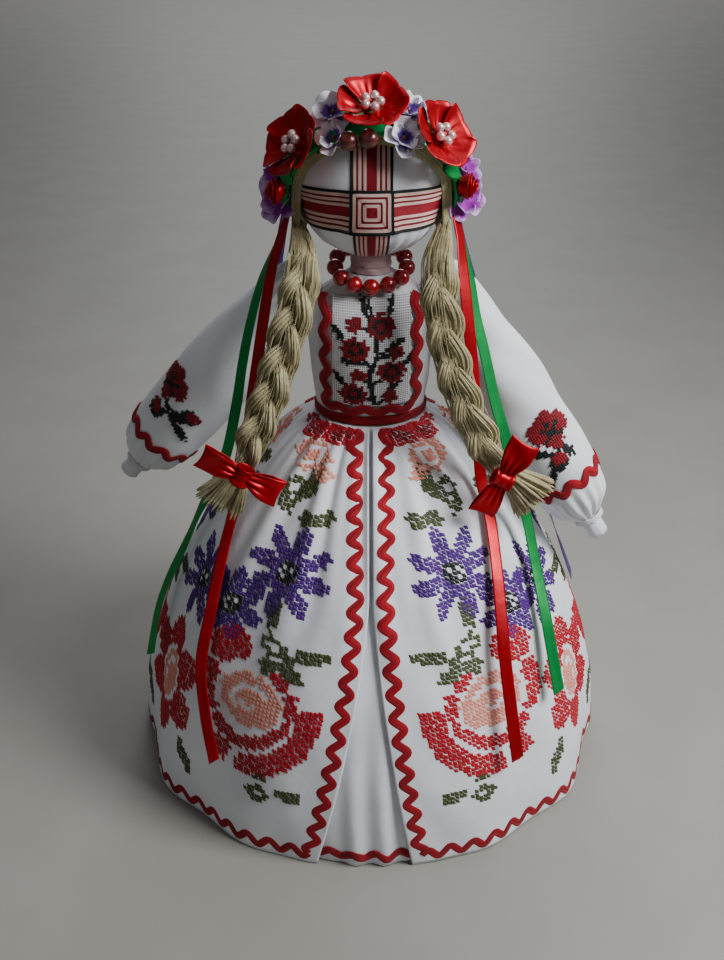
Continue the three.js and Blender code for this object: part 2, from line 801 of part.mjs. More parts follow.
/** A braid: a lobed rope that swells from its root and is drawn in again where the bow ties it. */
function braid(route) {
  const curve = new THREE.CatmullRomCurve3(toPoints(route), false, 'centripetal');
  const rings = [];
  for (let i = 0; i <= braidSteps; i += 1) {
    const share = i / braidSteps;
    const middle = curve.getPointAt(share);
    const along = curve.getTangentAt(share);
    const side = new THREE.Vector3(1, 0, 0).addScaledVector(along, -along.x).normalize();
    const up = along.clone().cross(side);
    const swell = Math.min(1, share / braidSwellShare);
    const drawn = Math.min(1, (1 - share) / braidDrawShare);
    const full = mix(mix(braidRootRadius, braidRadius, swell), braidTieRadius, 1 - drawn);
    const plait = 1 + Math.cos(4 * Math.PI * braidStrandTurns * share);
    const beat = 1 - braidLobeDepth * Math.min(swell, drawn) * plait;
    rings.push(ringAround(middle, up, side, full * beat * braidFlatness, full * beat, braidSides));
  }
  return loft(rings);
}

/** A tassel of loose flax below the tie. */
function tassel(root, direction) {
  const side = new THREE.Vector3(0, 1, 0).cross(direction).normalize();
  const up = direction.clone().cross(side);
  const ring = (place, radius, flat) => {
    const centre = root.clone().addScaledVector(direction, place);
    return ringAround(centre, up, side, radius * flat, radius, 10);
  };
  return loft([
    ring(0, braidTieRadius, 1),
    ring(tasselLength * 0.3, mix(braidTieRadius, tasselEndRadius, 0.5), mix(1, tasselFlatness, 0.6)),
    ring(tasselLength * 0.75, tasselEndRadius * 0.95, tasselFlatness),
    ring(tasselLength, tasselEndRadius, tasselFlatness),
  ]);
}

/** A satin bow: two open loops and a knot, with the loops along direction. */
function bow(centre, direction) {
  const steps = 12;
  const depth = new THREE.Vector3(0, 0, bowLoopThickness / 2);
  const onLoop = (angle) => {
    const far = (1 - Math.cos(angle)) / 2;
    const open = Math.sin(angle) * mix(bowPinch, bowSpread, far);
    return new THREE.Vector3(bowLoopStart + bowLoopLength * far, (bowLoopWidth / 2) * open, 0);
  };
  const loop = () => loft(Array.from({ length: steps }, (_, k) => {
    const angle = (k / steps) * 2 * Math.PI;
    const along = onLoop(angle + 0.1).sub(onLoop(angle - 0.1)).normalize();
    const wall = new THREE.Vector3(along.y, -along.x, 0).multiplyScalar(bowLoopWall / 2);
    const middle = onLoop(angle);
    return [
      middle.clone().add(wall).add(depth),
      middle.clone().sub(wall).add(depth),
      middle.clone().sub(wall).sub(depth),
      middle.clone().add(wall).sub(depth),
    ];
  }), true);
  const whole = join(loop(), loop().rotateZ(Math.PI), new THREE.SphereGeometry(bowKnotRadius, 8, 6));
  const forward = new THREE.Vector3(0, -1, 0);
  const upward = forward.clone().cross(direction).normalize();
  const basis = new THREE.Matrix4().makeBasis(direction, upward, forward);
  return closed(whole.applyMatrix4(basis.setPosition(centre)));
}

function addBraids() {
  for (const side of Object.keys(sides)) {
    const route = braidRoutes[side];
    const tie = new THREE.Vector3(...route.at(-1));
    addPiece(`braid_${side}`, braid(route), colours.flax, 1);
    const last = toPoints(route.slice(-2));
    const along = last[1].clone().sub(last[0]).normalize();
    const bend = along.angleTo(tasselDirections[side]);
    const root = tie.clone().addScaledVector(along, seatGap + braidTieRadius * Math.sin(bend));
    addPiece(`tassel_${side}`, tassel(root, tasselDirections[side]), colours.flax, 1);
    const knot = tie.clone().add(new THREE.Vector3(0, -braidTieRadius - seatGap - bowKnotRadius, 0));
    addPiece(`bow_${side}`, bow(knot, bowDirections[side]), colours.redSatin, 0.4);
  }
}

// Wreath: places are given by the angle along the band, from the doll's left ear (+X) over the
// crown, and by the angle across it, toward the back
const [leanSine, leanCosine] = [Math.sin(radians(wreathLean)), Math.cos(radians(wreathLean))];
const wreathUp = new THREE.Vector3(0, -leanSine, leanCosine);
const wreathBack = new THREE.Vector3(0, leanCosine, leanSine);

/** A place on the wreath: along and across in degrees, lift off the head in millimetres. */
function onWreath(along, across, lift) {
  const offset = new THREE.Vector3(0, wreathPlaneBack - headBack, wreathHeight - headHeight);
  const level = new THREE.Vector3(Math.cos(radians(along)), 0, 0)
    .addScaledVector(wreathUp, Math.sin(radians(along)));
  const way = level
    .multiplyScalar(Math.cos(radians(across)))
    .addScaledVector(wreathBack, Math.sin(radians(across)));
  return onHead(way.multiplyScalar(headHalfWidth).add(offset), lift);
}

function wreathBand() {
  const steps = 20;
  const halfAngle = THREE.MathUtils.radToDeg(wreathWidth / 2 / (headHalfWidth + wreathGap));
  const rings = Array.from({ length: steps + 1 }, (_, i) => {
    const along = mix(wreathEndAngle, 180 - wreathEndAngle, i / steps);
    return [
      onWreath(along, -halfAngle, wreathGap).place,
      onWreath(along, 0, wreathGap).place,
      onWreath(along, halfAngle, wreathGap).place,
      onWreath(along, halfAngle, wreathGap + wreathThickness).place,
      onWreath(along, 0, wreathGap + wreathThickness).place,
      onWreath(along, -halfAngle, wreathGap + wreathThickness).place,
    ];
  });
  return loft(rings);
}

/** A cupped blossom about +Z with rounded petals: rings of points under and over it. */
function blossom(radius, cup, petals, thickness, columnsPerPetal, boss) {
  const columns = petals * columnsPerPetal;
  const ring = (share, height) => Array.from({ length: columns }, (_, j) => {
    const angle = (j / columns) * 2 * Math.PI;
    const lobe = 1 - petalNotch * share * (1 - Math.abs(Math.sin((petals * angle) / 2)));
    const reach = radius * share * lobe;
    return new THREE.Vector3(reach * Math.cos(angle), reach * Math.sin(angle), height + cup * share * share);
  });
  const footShare = boss.radius / radius;
  const face = boss.height + thickness;
  return loft([
    ring(footShare, -cup * footShare ** 2),
    ring(footShare, boss.height),
    ring(0.62, boss.height),
    ring(1, boss.height),
    ring(1, face),
    ring(0.55, face),
    ring(0.2, face),
  ]);
}

/** Five pearls in a ring, each against the next. */
function pearlRing() {
  const pearls = Array.from({ length: 5 }, (_, k) => {
    const angle = (k / 5) * 2 * Math.PI;
    return new THREE.SphereGeometry(pearlRadius, 6, 4)
      .rotateX(Math.PI / 2)
      .rotateZ(angle)
      .translate(pearlRingRadius * Math.cos(angle), pearlRingRadius * Math.sin(angle), 0);
  });
  return join(...pearls);
}

/** A flat leaf loop of ribbon about +Z, its point along +X. */
function leaf() {
  const ring = (share, height) => Array.from({ length: 8 }, (_, j) => {
    const angle = (j / 8) * 2 * Math.PI;
    const x = (leafLength / 2) * Math.cos(angle);
    const y = (leafWidth / 2) * Math.sin(angle) * (1 - leafTaper * Math.cos(angle));
    return new THREE.Vector3(x * share, y * share, height);
  });
  return loft([ring(0.85, 0), ring(1, leafThickness / 2), ring(0.85, leafThickness)]);
}

const rosebud = () => closed(new THREE.SphereGeometry(1, 8, 6)
  .rotateX(Math.PI / 2)
  .scale(rosebudRadius, rosebudRadius, rosebudHeight / 2)
  .translate(0, 0, rosebudHeight / 2));

/** Moves a shape made about +Z to a place on the wreath, turned about its own axis by spin. */
function seatOnWreath(geometry, { along, across, lift = 0, spin = 0 }, base = wreathGap + wreathThickness) {
  const { place, outward } = onWreath(along, across, base + seatGap + lift);
  const turn = new THREE.Quaternion().setFromUnitVectors(new THREE.Vector3(0, 0, 1), outward);
  const moved = geometry.clone().rotateZ(radians(spin)).applyQuaternion(turn);
  return closed(moved.translate(place.x, place.y, place.z));
}

const satinFlowers = {
  centre: { along: 90, across: 0, spin: 90 },
  left: { along: 135, across: -8, spin: 140 },
  right: { along: 50, across: -7, spin: 40 },
};
const pansies = {
  crown_left: { along: 113, across: 7, spin: 20 },
  crown_right: { along: 69, across: 8, spin: 50 },
  brow_right: { along: 70, across: -15, spin: 10 },
  ear_left: { along: 181, across: 3, spin: 30 },
  ear_right: { along: -1, across: 3, spin: 0 },
  side_left: { along: 155, across: 8, spin: 70 },
};
const leaves = {
  crown_left: { along: 117, across: -13, spin: 200 },
  side_left: { along: 155, across: -10, spin: 110 },
  side_right: { along: 27, across: 7, spin: 60 },
  brow_right: { along: 31, across: -13, spin: 30 },
  crown: { along: 86, across: 12, spin: 120 },
};
const rosebuds = {
  left: { along: 167, across: -10 },
  right: { along: 16, across: -9 },
};
const berries = {
  centre: { along: 92, across: -17, lift: -1 },
  left: { along: 104, across: -17, lift: -1 },
};

function addWreath() {
  addPiece('wreath_band', wreathBand(), colours.greenSatin);
  const boss = { radius: flowerBossRadius, height: flowerLift };
  for (const [name, place] of Object.entries(satinFlowers)) {
    const flower = blossom(flowerRadius, flowerCup, 5, petalThickness, 3, boss);
    addPiece(`satin_flower_${name}`, seatOnWreath(flower, place), colours.redSatin, 0.4);
    const pearlLift = flowerLift + petalThickness + pearlRadius + 2 * seatGap;
    addPiece(`pearls_${name}`, seatOnWreath(pearlRing(), { ...place, lift: pearlLift }), colours.pearl, 0.25);
  }
  const pansyBoss = { radius: pansyBossRadius, height: pansyLift };
  for (const [name, place] of Object.entries(pansies)) {
    const flower = blossom(pansyRadius, pansyCup, 5, petalThickness, 2, pansyBoss);
    addPiece(`pansy_${name}`, seatOnWreath(flower, place), colours.pansy);
  }
  for (const [name, place] of Object.entries(leaves)) {
    addPiece(`leaf_${name}`, seatOnWreath(leaf(), place), colours.greenSatin, 0.4);
  }
  for (const [name, place] of Object.entries(rosebuds)) {
    addPiece(`rosebud_${name}`, seatOnWreath(rosebud(), place), colours.redSatin, 0.4);
  }
  for (const [name, place] of Object.entries(berries)) {
    const berry = new THREE.SphereGeometry(berryRadius, 7, 5);
    addPiece(`berry_${name}`, seatOnWreath(berry, place), colours.berry, 0.4);
  }
}

function addNecklace() {
  const ringRadius = beadPitch / 2 / Math.sin(Math.PI / beadCount);
  const tilt = radians(necklaceTilt);
  const backInset = neckRadius + seatGap + 0.1 + beadRadius;
  const centre = new THREE.Vector3(0, backInset - ringRadius * Math.cos(tilt), necklaceHeight);
  const beads = Array.from({ length: beadCount }, (_, k) => {
    const angle = (k / beadCount) * 2 * Math.PI - Math.PI / 2;
    return new THREE.SphereGeometry(beadRadius, 8, 6)
      .rotateX(Math.PI / 2)
      .rotateZ(angle)
      .translate(ringRadius * Math.cos(angle), ringRadius * Math.sin(angle), 0);
  });
  const string = new THREE.TorusGeometry(ringRadius, stringRadius, 4, 2 * beadCount);
  const whole = join(string, ...beads).rotateX(tilt).translate(centre.x, centre.y, centre.z);
  addPiece('necklace', closed(whole), colours.bead, 0.2, 0.1);
}

function addArms() {
  for (const [name, side] of Object.entries(sides)) {
    const arm = new THREE.Group();
    arm.position.set(side * shoulderX, 0, shoulderZ);
    arm.quaternion.setFromUnitVectors(new THREE.Vector3(0, 0, 1), armDirections[name]);
    doll.add(arm);
    const bore = [[armBore, wristPlace], [armBore, armRootDepth], [0, armRootDepth]];
    const sleeve = turned([[0, -shoulderBallRadius], ...sleeveShape, ...bore], sleeveColumns);
    addPiece(`sleeve_${name}`, sleeve, colours.whiteCloth, 0.9, 0, arm);
    const rollStart = armRootDepth + seatGap;
    const roll = turned([
      [0, rollStart], [armRadius, rollStart], [armRadius, armLength - armEdge],
      [armRadius - armEdge, armLength], [0, armLength],
    ], 12);
    addPiece(`arm_${name}`, roll, colours.whiteCloth, 0.9, 0, arm);
    const [near, far] = [cuffPlace - cuffTrimWidth / 2, cuffPlace + cuffTrimWidth / 2];
    const [rNear, rFar] = [sleeveRadius(near) + seatGap, sleeveRadius(far) + seatGap];
    const cuff = turned([
      [rNear, near], [rNear + trimThickness, near], [rFar + trimThickness, far], [rFar, far], [rNear, near],
    ], sleeveColumns);
    addPiece(`cuff_trim_${name}`, cuff, colours.redTrim, 0.9, 0, arm);
    const [tieStart, tieEnd] = [wristPlace + seatGap, wristPlace + seatGap + wristTieWidth];
    const tieInner = armRadius + seatGap;
    const tieOuter = tieInner + wristTieThickness;
    const tie = turned([
      [tieInner, tieStart], [tieOuter, tieStart], [tieOuter, tieEnd],
      [tieInner, tieEnd], [tieInner, tieStart],
    ], 12);
    addPiece(`wrist_tie_${name}`, tie, colours.whiteCloth, 0.9, 0, arm);
  }
}

// Wreath ribbons: the route of each from the wreath's end to its free end
const ribbonRoutes = {
  red_left: [
    [-37.8, -8.2, 288.4], [-40.5, -12.5, 280], [-45, -18, 266], [-48.5, -24.5, 248], [-52, -30, 228],
    [-56, -34, 205], [-59, -35.5, 185], [-62, -36, 167], [-67, -39, 150], [-72, -52, 133],
    [-77, -67.5, 112], [-81.5, -79.5, 90], [-79, -93.5, 70], [-74.5, -104.5, 50],
  ],
  red_right: [
    [37.8, -8.2, 288.4], [40, -12.5, 280], [41, -19, 270], [43, -26, 253], [46.2, -31, 228.6],
    [49, -34.5, 205], [51, -36.5, 185], [53, -38, 168], [57.5, -49, 151], [60, -70, 130],
    [63, -90.5, 98.8], [70, -106, 52.8],
  ],
  green_left: [
    [-38.5, 0.8, 289.4], [-41.5, -2.5, 279], [-50, -12, 260], [-56, -19.5, 240], [-60, -25, 222],
    [-63, -30, 205], [-69, -29, 180], [-77, -22, 158], [-86, -14, 140], [-94.5, -18.5, 122],
    [-104.5, -24, 102.6], [-110.5, -31, 86.9], [-114.5, -42, 66],
  ],
  green_right: [
    [38.5, 0.8, 289.4], [41.5, -4, 279], [45, -15.5, 262], [48, -21.5, 245], [52.5, -25.5, 228.6],
    [58, -30.5, 207], [63.5, -34, 190], [69, -37, 170], [75.5, -38, 150], [80.5, -49.5, 128],
    [85.5, -66, 104.5], [92, -80.5, 72.4],
  ],
  violet_left: [
    [-37.8, 7.6, 294.2], [-42, 14, 274], [-46, 21, 252], [-48, 27.5, 227], [-49, 32, 200], [-51, 46, 172],
    [-58, 60, 148], [-68, 74, 118], [-75, 86, 88],
  ],
  violet_right: [
    [37.8, 7.6, 294.2], [42, 13, 274], [49, 21, 250], [56, 25, 225], [62, 26, 203], [75, 20, 164],
    [90, 5, 138], [99, -6, 117], [108, -9, 94],
  ],
};

/** A ribbon through its route, its face turned away from the doll's axis. */
function ribbon(route) {
  const points = toPoints(route);
  return flatBand(points.map((place, i) => {
    const along = points[Math.min(i + 1, points.length - 1)].clone().sub(points[Math.max(i - 1, 0)]);
    const away = new THREE.Vector3(place.x * 0.35, place.y, 0).normalize();
    const across = away.clone().cross(along).normalize();
    return { place, across, outward: along.clone().cross(across).negate().normalize() };
  }), ribbonWidth, ribbonThickness);
}

function addRibbons() {
  const finish = { red: colours.redSatin, green: colours.greenSatin, violet: colours.violetSatin };
  for (const [name, route] of Object.entries(ribbonRoutes)) {
    const [colour] = name.split('_');
    addPiece(`ribbon_${name}`, ribbon(route), finish[colour], 0.4);
  }
}

addBase();
addUnderskirt();
addOverskirt();
addTorso();
addChest();
addHead();
addFaceCross();
addHairCap();
addBraids();
addWreath();
addNecklace();
addArms();
addRibbons();

export default doll;
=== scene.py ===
"""Amulet doll: the looks of a standing folk doll of cloth, flax and thread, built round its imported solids."""

import logging
from collections.abc import Callable, Sequence
from dataclasses import dataclass, field
from enum import Enum
from math import cos, pi, radians, sin, sqrt
from typing import Self

import bpy
import numpy as np
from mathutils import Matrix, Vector


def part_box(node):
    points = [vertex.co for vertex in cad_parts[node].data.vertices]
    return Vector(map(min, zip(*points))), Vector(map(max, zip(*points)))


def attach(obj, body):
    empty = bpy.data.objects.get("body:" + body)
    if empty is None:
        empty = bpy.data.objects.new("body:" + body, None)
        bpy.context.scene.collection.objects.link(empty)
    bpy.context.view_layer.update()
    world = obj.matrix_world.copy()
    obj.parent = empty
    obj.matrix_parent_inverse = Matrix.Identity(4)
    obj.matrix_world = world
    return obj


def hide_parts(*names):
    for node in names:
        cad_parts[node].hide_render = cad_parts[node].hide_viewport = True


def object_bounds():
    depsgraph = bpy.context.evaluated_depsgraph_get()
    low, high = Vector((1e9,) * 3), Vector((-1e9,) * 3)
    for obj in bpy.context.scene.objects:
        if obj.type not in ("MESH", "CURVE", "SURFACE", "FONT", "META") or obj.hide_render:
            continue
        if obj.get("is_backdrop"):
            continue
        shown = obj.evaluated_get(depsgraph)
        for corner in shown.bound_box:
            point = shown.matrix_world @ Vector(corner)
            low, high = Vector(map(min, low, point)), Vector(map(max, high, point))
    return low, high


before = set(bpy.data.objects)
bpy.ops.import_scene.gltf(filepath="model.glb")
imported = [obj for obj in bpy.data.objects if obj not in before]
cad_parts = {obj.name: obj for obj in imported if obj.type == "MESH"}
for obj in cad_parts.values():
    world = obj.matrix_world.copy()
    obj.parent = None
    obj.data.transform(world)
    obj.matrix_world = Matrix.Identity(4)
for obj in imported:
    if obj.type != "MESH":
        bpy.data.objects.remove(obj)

LOG = logging.getLogger("amulet_doll")
MM = 0.001
TURN = 2 * pi
CLOTH_UV = "cloth"

Array = np.ndarray
Socket = bpy.types.NodeSocket
Sockets = bpy.types.bpy_prop_collection
Node = bpy.types.Node
Material = bpy.types.Material
Thing = bpy.types.Object
Colour = tuple[float, float, float]
Spot = tuple[float, float, float]
Surface = Callable[[Array, Array], Array]
Axis = tuple[Sequence[float], Sequence[float]]

UPRIGHT: Axis = ((0.0, 0.0, 0.0), (0.0, 0.0, 1.0))


class Side(Enum):
    """The two sides of the doll as the camera sees them."""

    LEFT = -1
    RIGHT = 1

    @property
    def word(self) -> str:
        """The side's word in node and body names."""
        return self.name.lower()


# Points, rows and rings


def unit(rows: Array) -> Array:
    """Rows of vectors at length one."""
    rows = np.asarray(rows, float)
    return rows / np.maximum(np.linalg.norm(rows, axis=-1, keepdims=True), 1e-12)


def spots(*parts: Array) -> Array:
    """Points, or pairs, from arrays of their parts."""
    return np.stack(parts, axis=-1)


def lattice(first: Array, second: Array) -> tuple[Array, Array]:
    """Two arrays that give each row its first value and each column its second."""
    return np.meshgrid(first, second, indexing="ij")


def circle(count: int) -> Array:
    """Evenly spaced angles once round, the end left out."""
    return np.linspace(0, TURN, count, endpoint=False)


def off_front(angle: Array) -> Array:
    """How far angles are from straight ahead, to either side."""
    return np.abs((angle + pi) % TURN - pi)


def rays(polar: Array, angle: Array) -> Array:
    """Unit directions from the angle off Z and the angle round it."""
    return spots(np.sin(polar) * np.cos(angle), np.sin(polar) * np.sin(angle), np.cos(polar) + 0 * angle)


def ease(low: float, high: float, value: Array) -> Array:
    """A soft step from 0 at low to 1 at high."""
    share = np.clip((np.asarray(value, float) - low) / (high - low), 0, 1)
    return share * share * (3 - 2 * share)


def curve(route: Sequence[Sequence[float]], count: int) -> Array:
    """Evenly spaced points on a smooth curve through a route.

    Args:
        route: the points that the curve passes, in millimetres.
        count: how many points to return.

    Returns:
        An array of count rows.
    """
    knots = np.asarray(route, float)
    ends = np.vstack([2 * knots[0] - knots[1], knots, 2 * knots[-1] - knots[-2]])
    pieces = []
    for i in range(1, len(ends) - 2):
        a, b, c, d = ends[i - 1 : i + 3]
        t = np.linspace(0, 1, 24, endpoint=False)[:, None]
        pieces.append(0.5 * (2 * b + (c - a) * t + (2 * a - 5 * b + 4 * c - d) * t**2
                             + (3 * b - a - 3 * c + d) * t**3))
    fine = np.vstack([*pieces, knots[-1:]])
    run = run_length(fine)
    marks = np.linspace(0, run[-1], count)
    return np.column_stack([np.interp(marks, run, fine[:, k]) for k in range(3)])


def run_length(path: Array) -> Array:
    """Length along a path at each of its points, from 0."""
    return np.concatenate([[0], np.cumsum(np.linalg.norm(np.diff(path, axis=0), axis=1))])


def tangents(path: Array, closed: bool = False) -> Array:
    """Unit directions along a path at each of its points.

    Args:
        path: rows of points.
        closed: whether the path is a loop.

    Returns:
        A unit row for each point.
    """
    if closed:
        return unit(np.roll(path, -1, axis=0) - np.roll(path, 1, axis=0))
    return unit(np.gradient(path, axis=0))


def side_frames(path: Array, first: Sequence[float] | None = None, closed: bool = False) -> tuple[Array, Array]:
    """Directions across a path that turn with it and never twist about it.

    Args:
        path: rows of points.
        first: the wished direction at the start, or None for any.
        closed: whether the path is a loop.

    Returns:
        Two arrays of unit rows, both square to the path and to each other.
    """
    along = tangents(path, closed)
    start = np.asarray(first if first is not None else (0.13, -1, 0.21), float)
    across = np.empty_like(along)
    across[0] = unit(start - along[0] * (start @ along[0]))
    for i in range(1, len(path)):
        kept = across[i - 1] - along[i] * (across[i - 1] @ along[i])
        across[i] = kept / max(np.linalg.norm(kept), 1e-9)
    return across, np.cross(along, across)


class Frame3:
    """A place on the doll with its own three axes, Z away from what carries it."""

    def __init__(self, origin: Array, outward: Array, spin: float = 0.0) -> None:
        """Turns the shape's Z to outward by the shortest way, after a spin about Z.

        Args:
            origin: the place in millimetres.
            outward: the direction of the shape's Z.
            spin: the turn about Z in degrees.
        """
        turn = Vector((0, 0, 1)).rotation_difference(Vector(outward)).to_matrix()
        angle = radians(spin)
        flat = np.array([[cos(angle), -sin(angle), 0], [sin(angle), cos(angle), 0], [0, 0, 1]])
        self.origin = np.asarray(origin, float)
        self.matrix = np.array(turn) @ flat

    def place(self, points: Array) -> Array:
        """Points from the shape's own axes to the doll's."""
        return np.asarray(points, float) @ self.matrix.T + self.origin

    def round(self, radius: Array, angle: Array, height: Array) -> Array:
        """Places at a radius, an angle and a height in the shape's own axes."""
        return self.place(spots(radius * np.cos(angle), radius * np.sin(angle), height))


# Meshes


def quads_of(number: Array) -> Array:
    """The faces of a grid of point numbers."""
    return spots(number[:-1, :-1], number[:-1, 1:], number[1:, 1:], number[1:, :-1]).reshape(-1, 4)


@dataclass
class PieceBuilder:
    """Gathers the points, faces and cloth coordinates of one piece, in millimetres."""

    name: str
    points: list[Array] = field(default_factory=list)
    faces: list[Array] = field(default_factory=list)
    cloth: list[Array] = field(default_factory=list)
    finishes: list[Array] = field(default_factory=list)
    count: int = 0

    def add(self, points: Array, faces: Array, cloth: Array, finish: int = 0) -> Self:
        """Adds loose points and quads.

        Args:
            points: rows of points.
            faces: rows of four point numbers.
            cloth: rows of two cloth coordinates, one for each point.
            finish: the number of the finish among those that the piece is built with.

        Returns:
            The builder itself.
        """
        self.points.append(np.asarray(points, float))
        self.faces.append(np.asarray(faces, int) + self.count)
        self.cloth.append(np.asarray(cloth, float))
        self.finishes.append(np.full(len(faces), finish))
        self.count += len(points)
        return self

    def add_grid(self, grid: Array, cloth: Array | None = None, around: bool = False, along: bool = False,
                 finish: int = 0) -> Self:
        """Adds a sheet from a grid of points.

        Args:
            grid: points in rows and columns.
            cloth: cloth coordinates in the same rows and columns, or None for lengths along the grid.
            around: whether the last column joins the first.
            along: whether the last row joins the first.
            finish: the number of the finish.

        Returns:
            The builder itself.
        """
        rows, columns = grid.shape[:2]
        if cloth is None:
            spans = (np.linalg.norm(np.diff(grid, axis=k), axis=2).mean(axis=1 - k) for k in (1, 0))
            cloth = spots(*np.meshgrid(*(np.cumsum([0, *span]) for span in spans)))
        number = np.arange(rows * columns).reshape(rows, columns)
        if around:
            number = np.hstack([number, number[:, :1]])
        if along:
            number = np.vstack([number, number[:1]])
        return self.add(grid.reshape(-1, 3), quads_of(number), cloth.reshape(-1, 2), finish)

    def add_tube(self, path: Array, radius: float | Array, sides: int = 8, flat: float = 1.0,
                 first: Sequence[float] | None = None, closed: bool = False, finish: int = 0,
                 bend: Array | None = None) -> None:
        """Adds a tube along a path, with closed ends unless it is a loop.

        Args:
            path: rows of points.
            radius: one radius, or one for each point.
            sides: points round the tube.
            flat: depth of the section as a share of its width.
            first: the direction of the section's depth at the start.
            closed: whether the tube is a loop.
            finish: the number of the finish.
            bend: directions of the section's depth at every point, in place of first.
        """
        path = np.asarray(path, float)
        if bend is None:
            up, side = side_frames(path, first, closed)
        else:
            along = tangents(path, closed)
            up = unit(bend - along * np.sum(bend * along, axis=1, keepdims=True))
            side = np.cross(along, up)
        reach = np.broadcast_to(np.asarray(radius, float), len(path))
        if not closed:
            path, up, side = (np.vstack([rows[:1], rows, rows[-1:]]) for rows in (path, up, side))
            reach = np.concatenate([[1e-3], reach, [1e-3]])
        angle = np.arange(sides) / sides * TURN
        grid = (path[:, None] + reach[:, None, None] * (flat * np.cos(angle)[None, :, None] * up[:, None]
                                                        + np.sin(angle)[None, :, None] * side[:, None]))
        cloth = spots(*np.meshgrid(angle * float(np.max(reach)), run_length(path)))
        self.add_grid(grid, cloth, around=True, along=closed, finish=finish)

    def add_ball(self, centre: Array, radius: float, rows: int = 14, columns: int = 20,
                 finish: int = 0) -> None:
        """Adds a ball.

        Args:
            centre: its middle.
            radius: its radius.
            rows: rings from pole to pole.
            columns: points on a ring.
            finish: the number of the finish.
        """
        ball = rays(np.linspace(0.01, pi - 0.01, rows)[:, None], np.arange(columns) / columns * TURN)
        self.add_grid(centre + ball * radius, around=True, finish=finish)

    def keep(self, where: Callable[[Array], Array]) -> None:
        """Drops the first sheet's faces whose middles a test doesn't pass."""
        kept = where(self.points[0][self.faces[0]].mean(axis=1))
        self.faces[0], self.finishes[0] = self.faces[0][kept], self.finishes[0][kept]

    def build(self, finishes: Sequence[Material], body: str | None, node: str = "", slot: str = "",
              thickness: float = 0.0, outward: float = 1.0) -> Thing:
        """Makes the piece and sets it on its body.

        Args:
            finishes: the materials, in the order of their numbers.
            body: the CAD body that the piece rides on, or None for the studio's own.
            node: the CAD node that it stands for, if any.
            slot: the record's material slot, if any; not used.
            thickness: thickness of the cloth, or 0 for none.
            outward: where the thickness goes, from -1, all inward, to 1, all outward.

        Returns:
            The new object.
        """
        mesh = bpy.data.meshes.new(self.name)
        points = np.vstack(self.points) * MM
        quads = np.vstack(self.faces)
        mesh.vertices.add(len(points))
        mesh.vertices.foreach_set("co", points.astype(np.float32).ravel())
        mesh.loops.add(quads.size)
        mesh.loops.foreach_set("vertex_index", quads.astype(np.int32).ravel())
        mesh.polygons.add(len(quads))
        mesh.polygons.foreach_set("loop_start", np.arange(0, quads.size, 4, dtype=np.int32))
        mesh.polygons.foreach_set("material_index", np.concatenate(self.finishes).astype(np.int32))
        mesh.polygons.foreach_set("use_smooth", np.ones(len(quads), bool))
        layer = mesh.uv_layers.new(name=CLOTH_UV)
        cloth = np.vstack(self.cloth)[quads.ravel()]
        layer.data.foreach_set("uv", cloth.astype(np.float32).ravel())
        for finish in finishes:
            mesh.materials.append(finish)
        mesh.update(calc_edges=True)
        mesh.validate()
        piece = bpy.data.objects.new(self.name, mesh)
        bpy.context.scene.collection.objects.link(piece)
        if thickness:
            solid = piece.modifiers.new("thickness", "SOLIDIFY")
            solid.thickness, solid.offset = thickness * MM, outward
        if body:
            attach(piece, body)
        if node:
            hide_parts(node)
        LOG.info("%s: %d points, %d faces on %s", self.name, len(points), len(quads), body)
        return piece


# Shader nodes


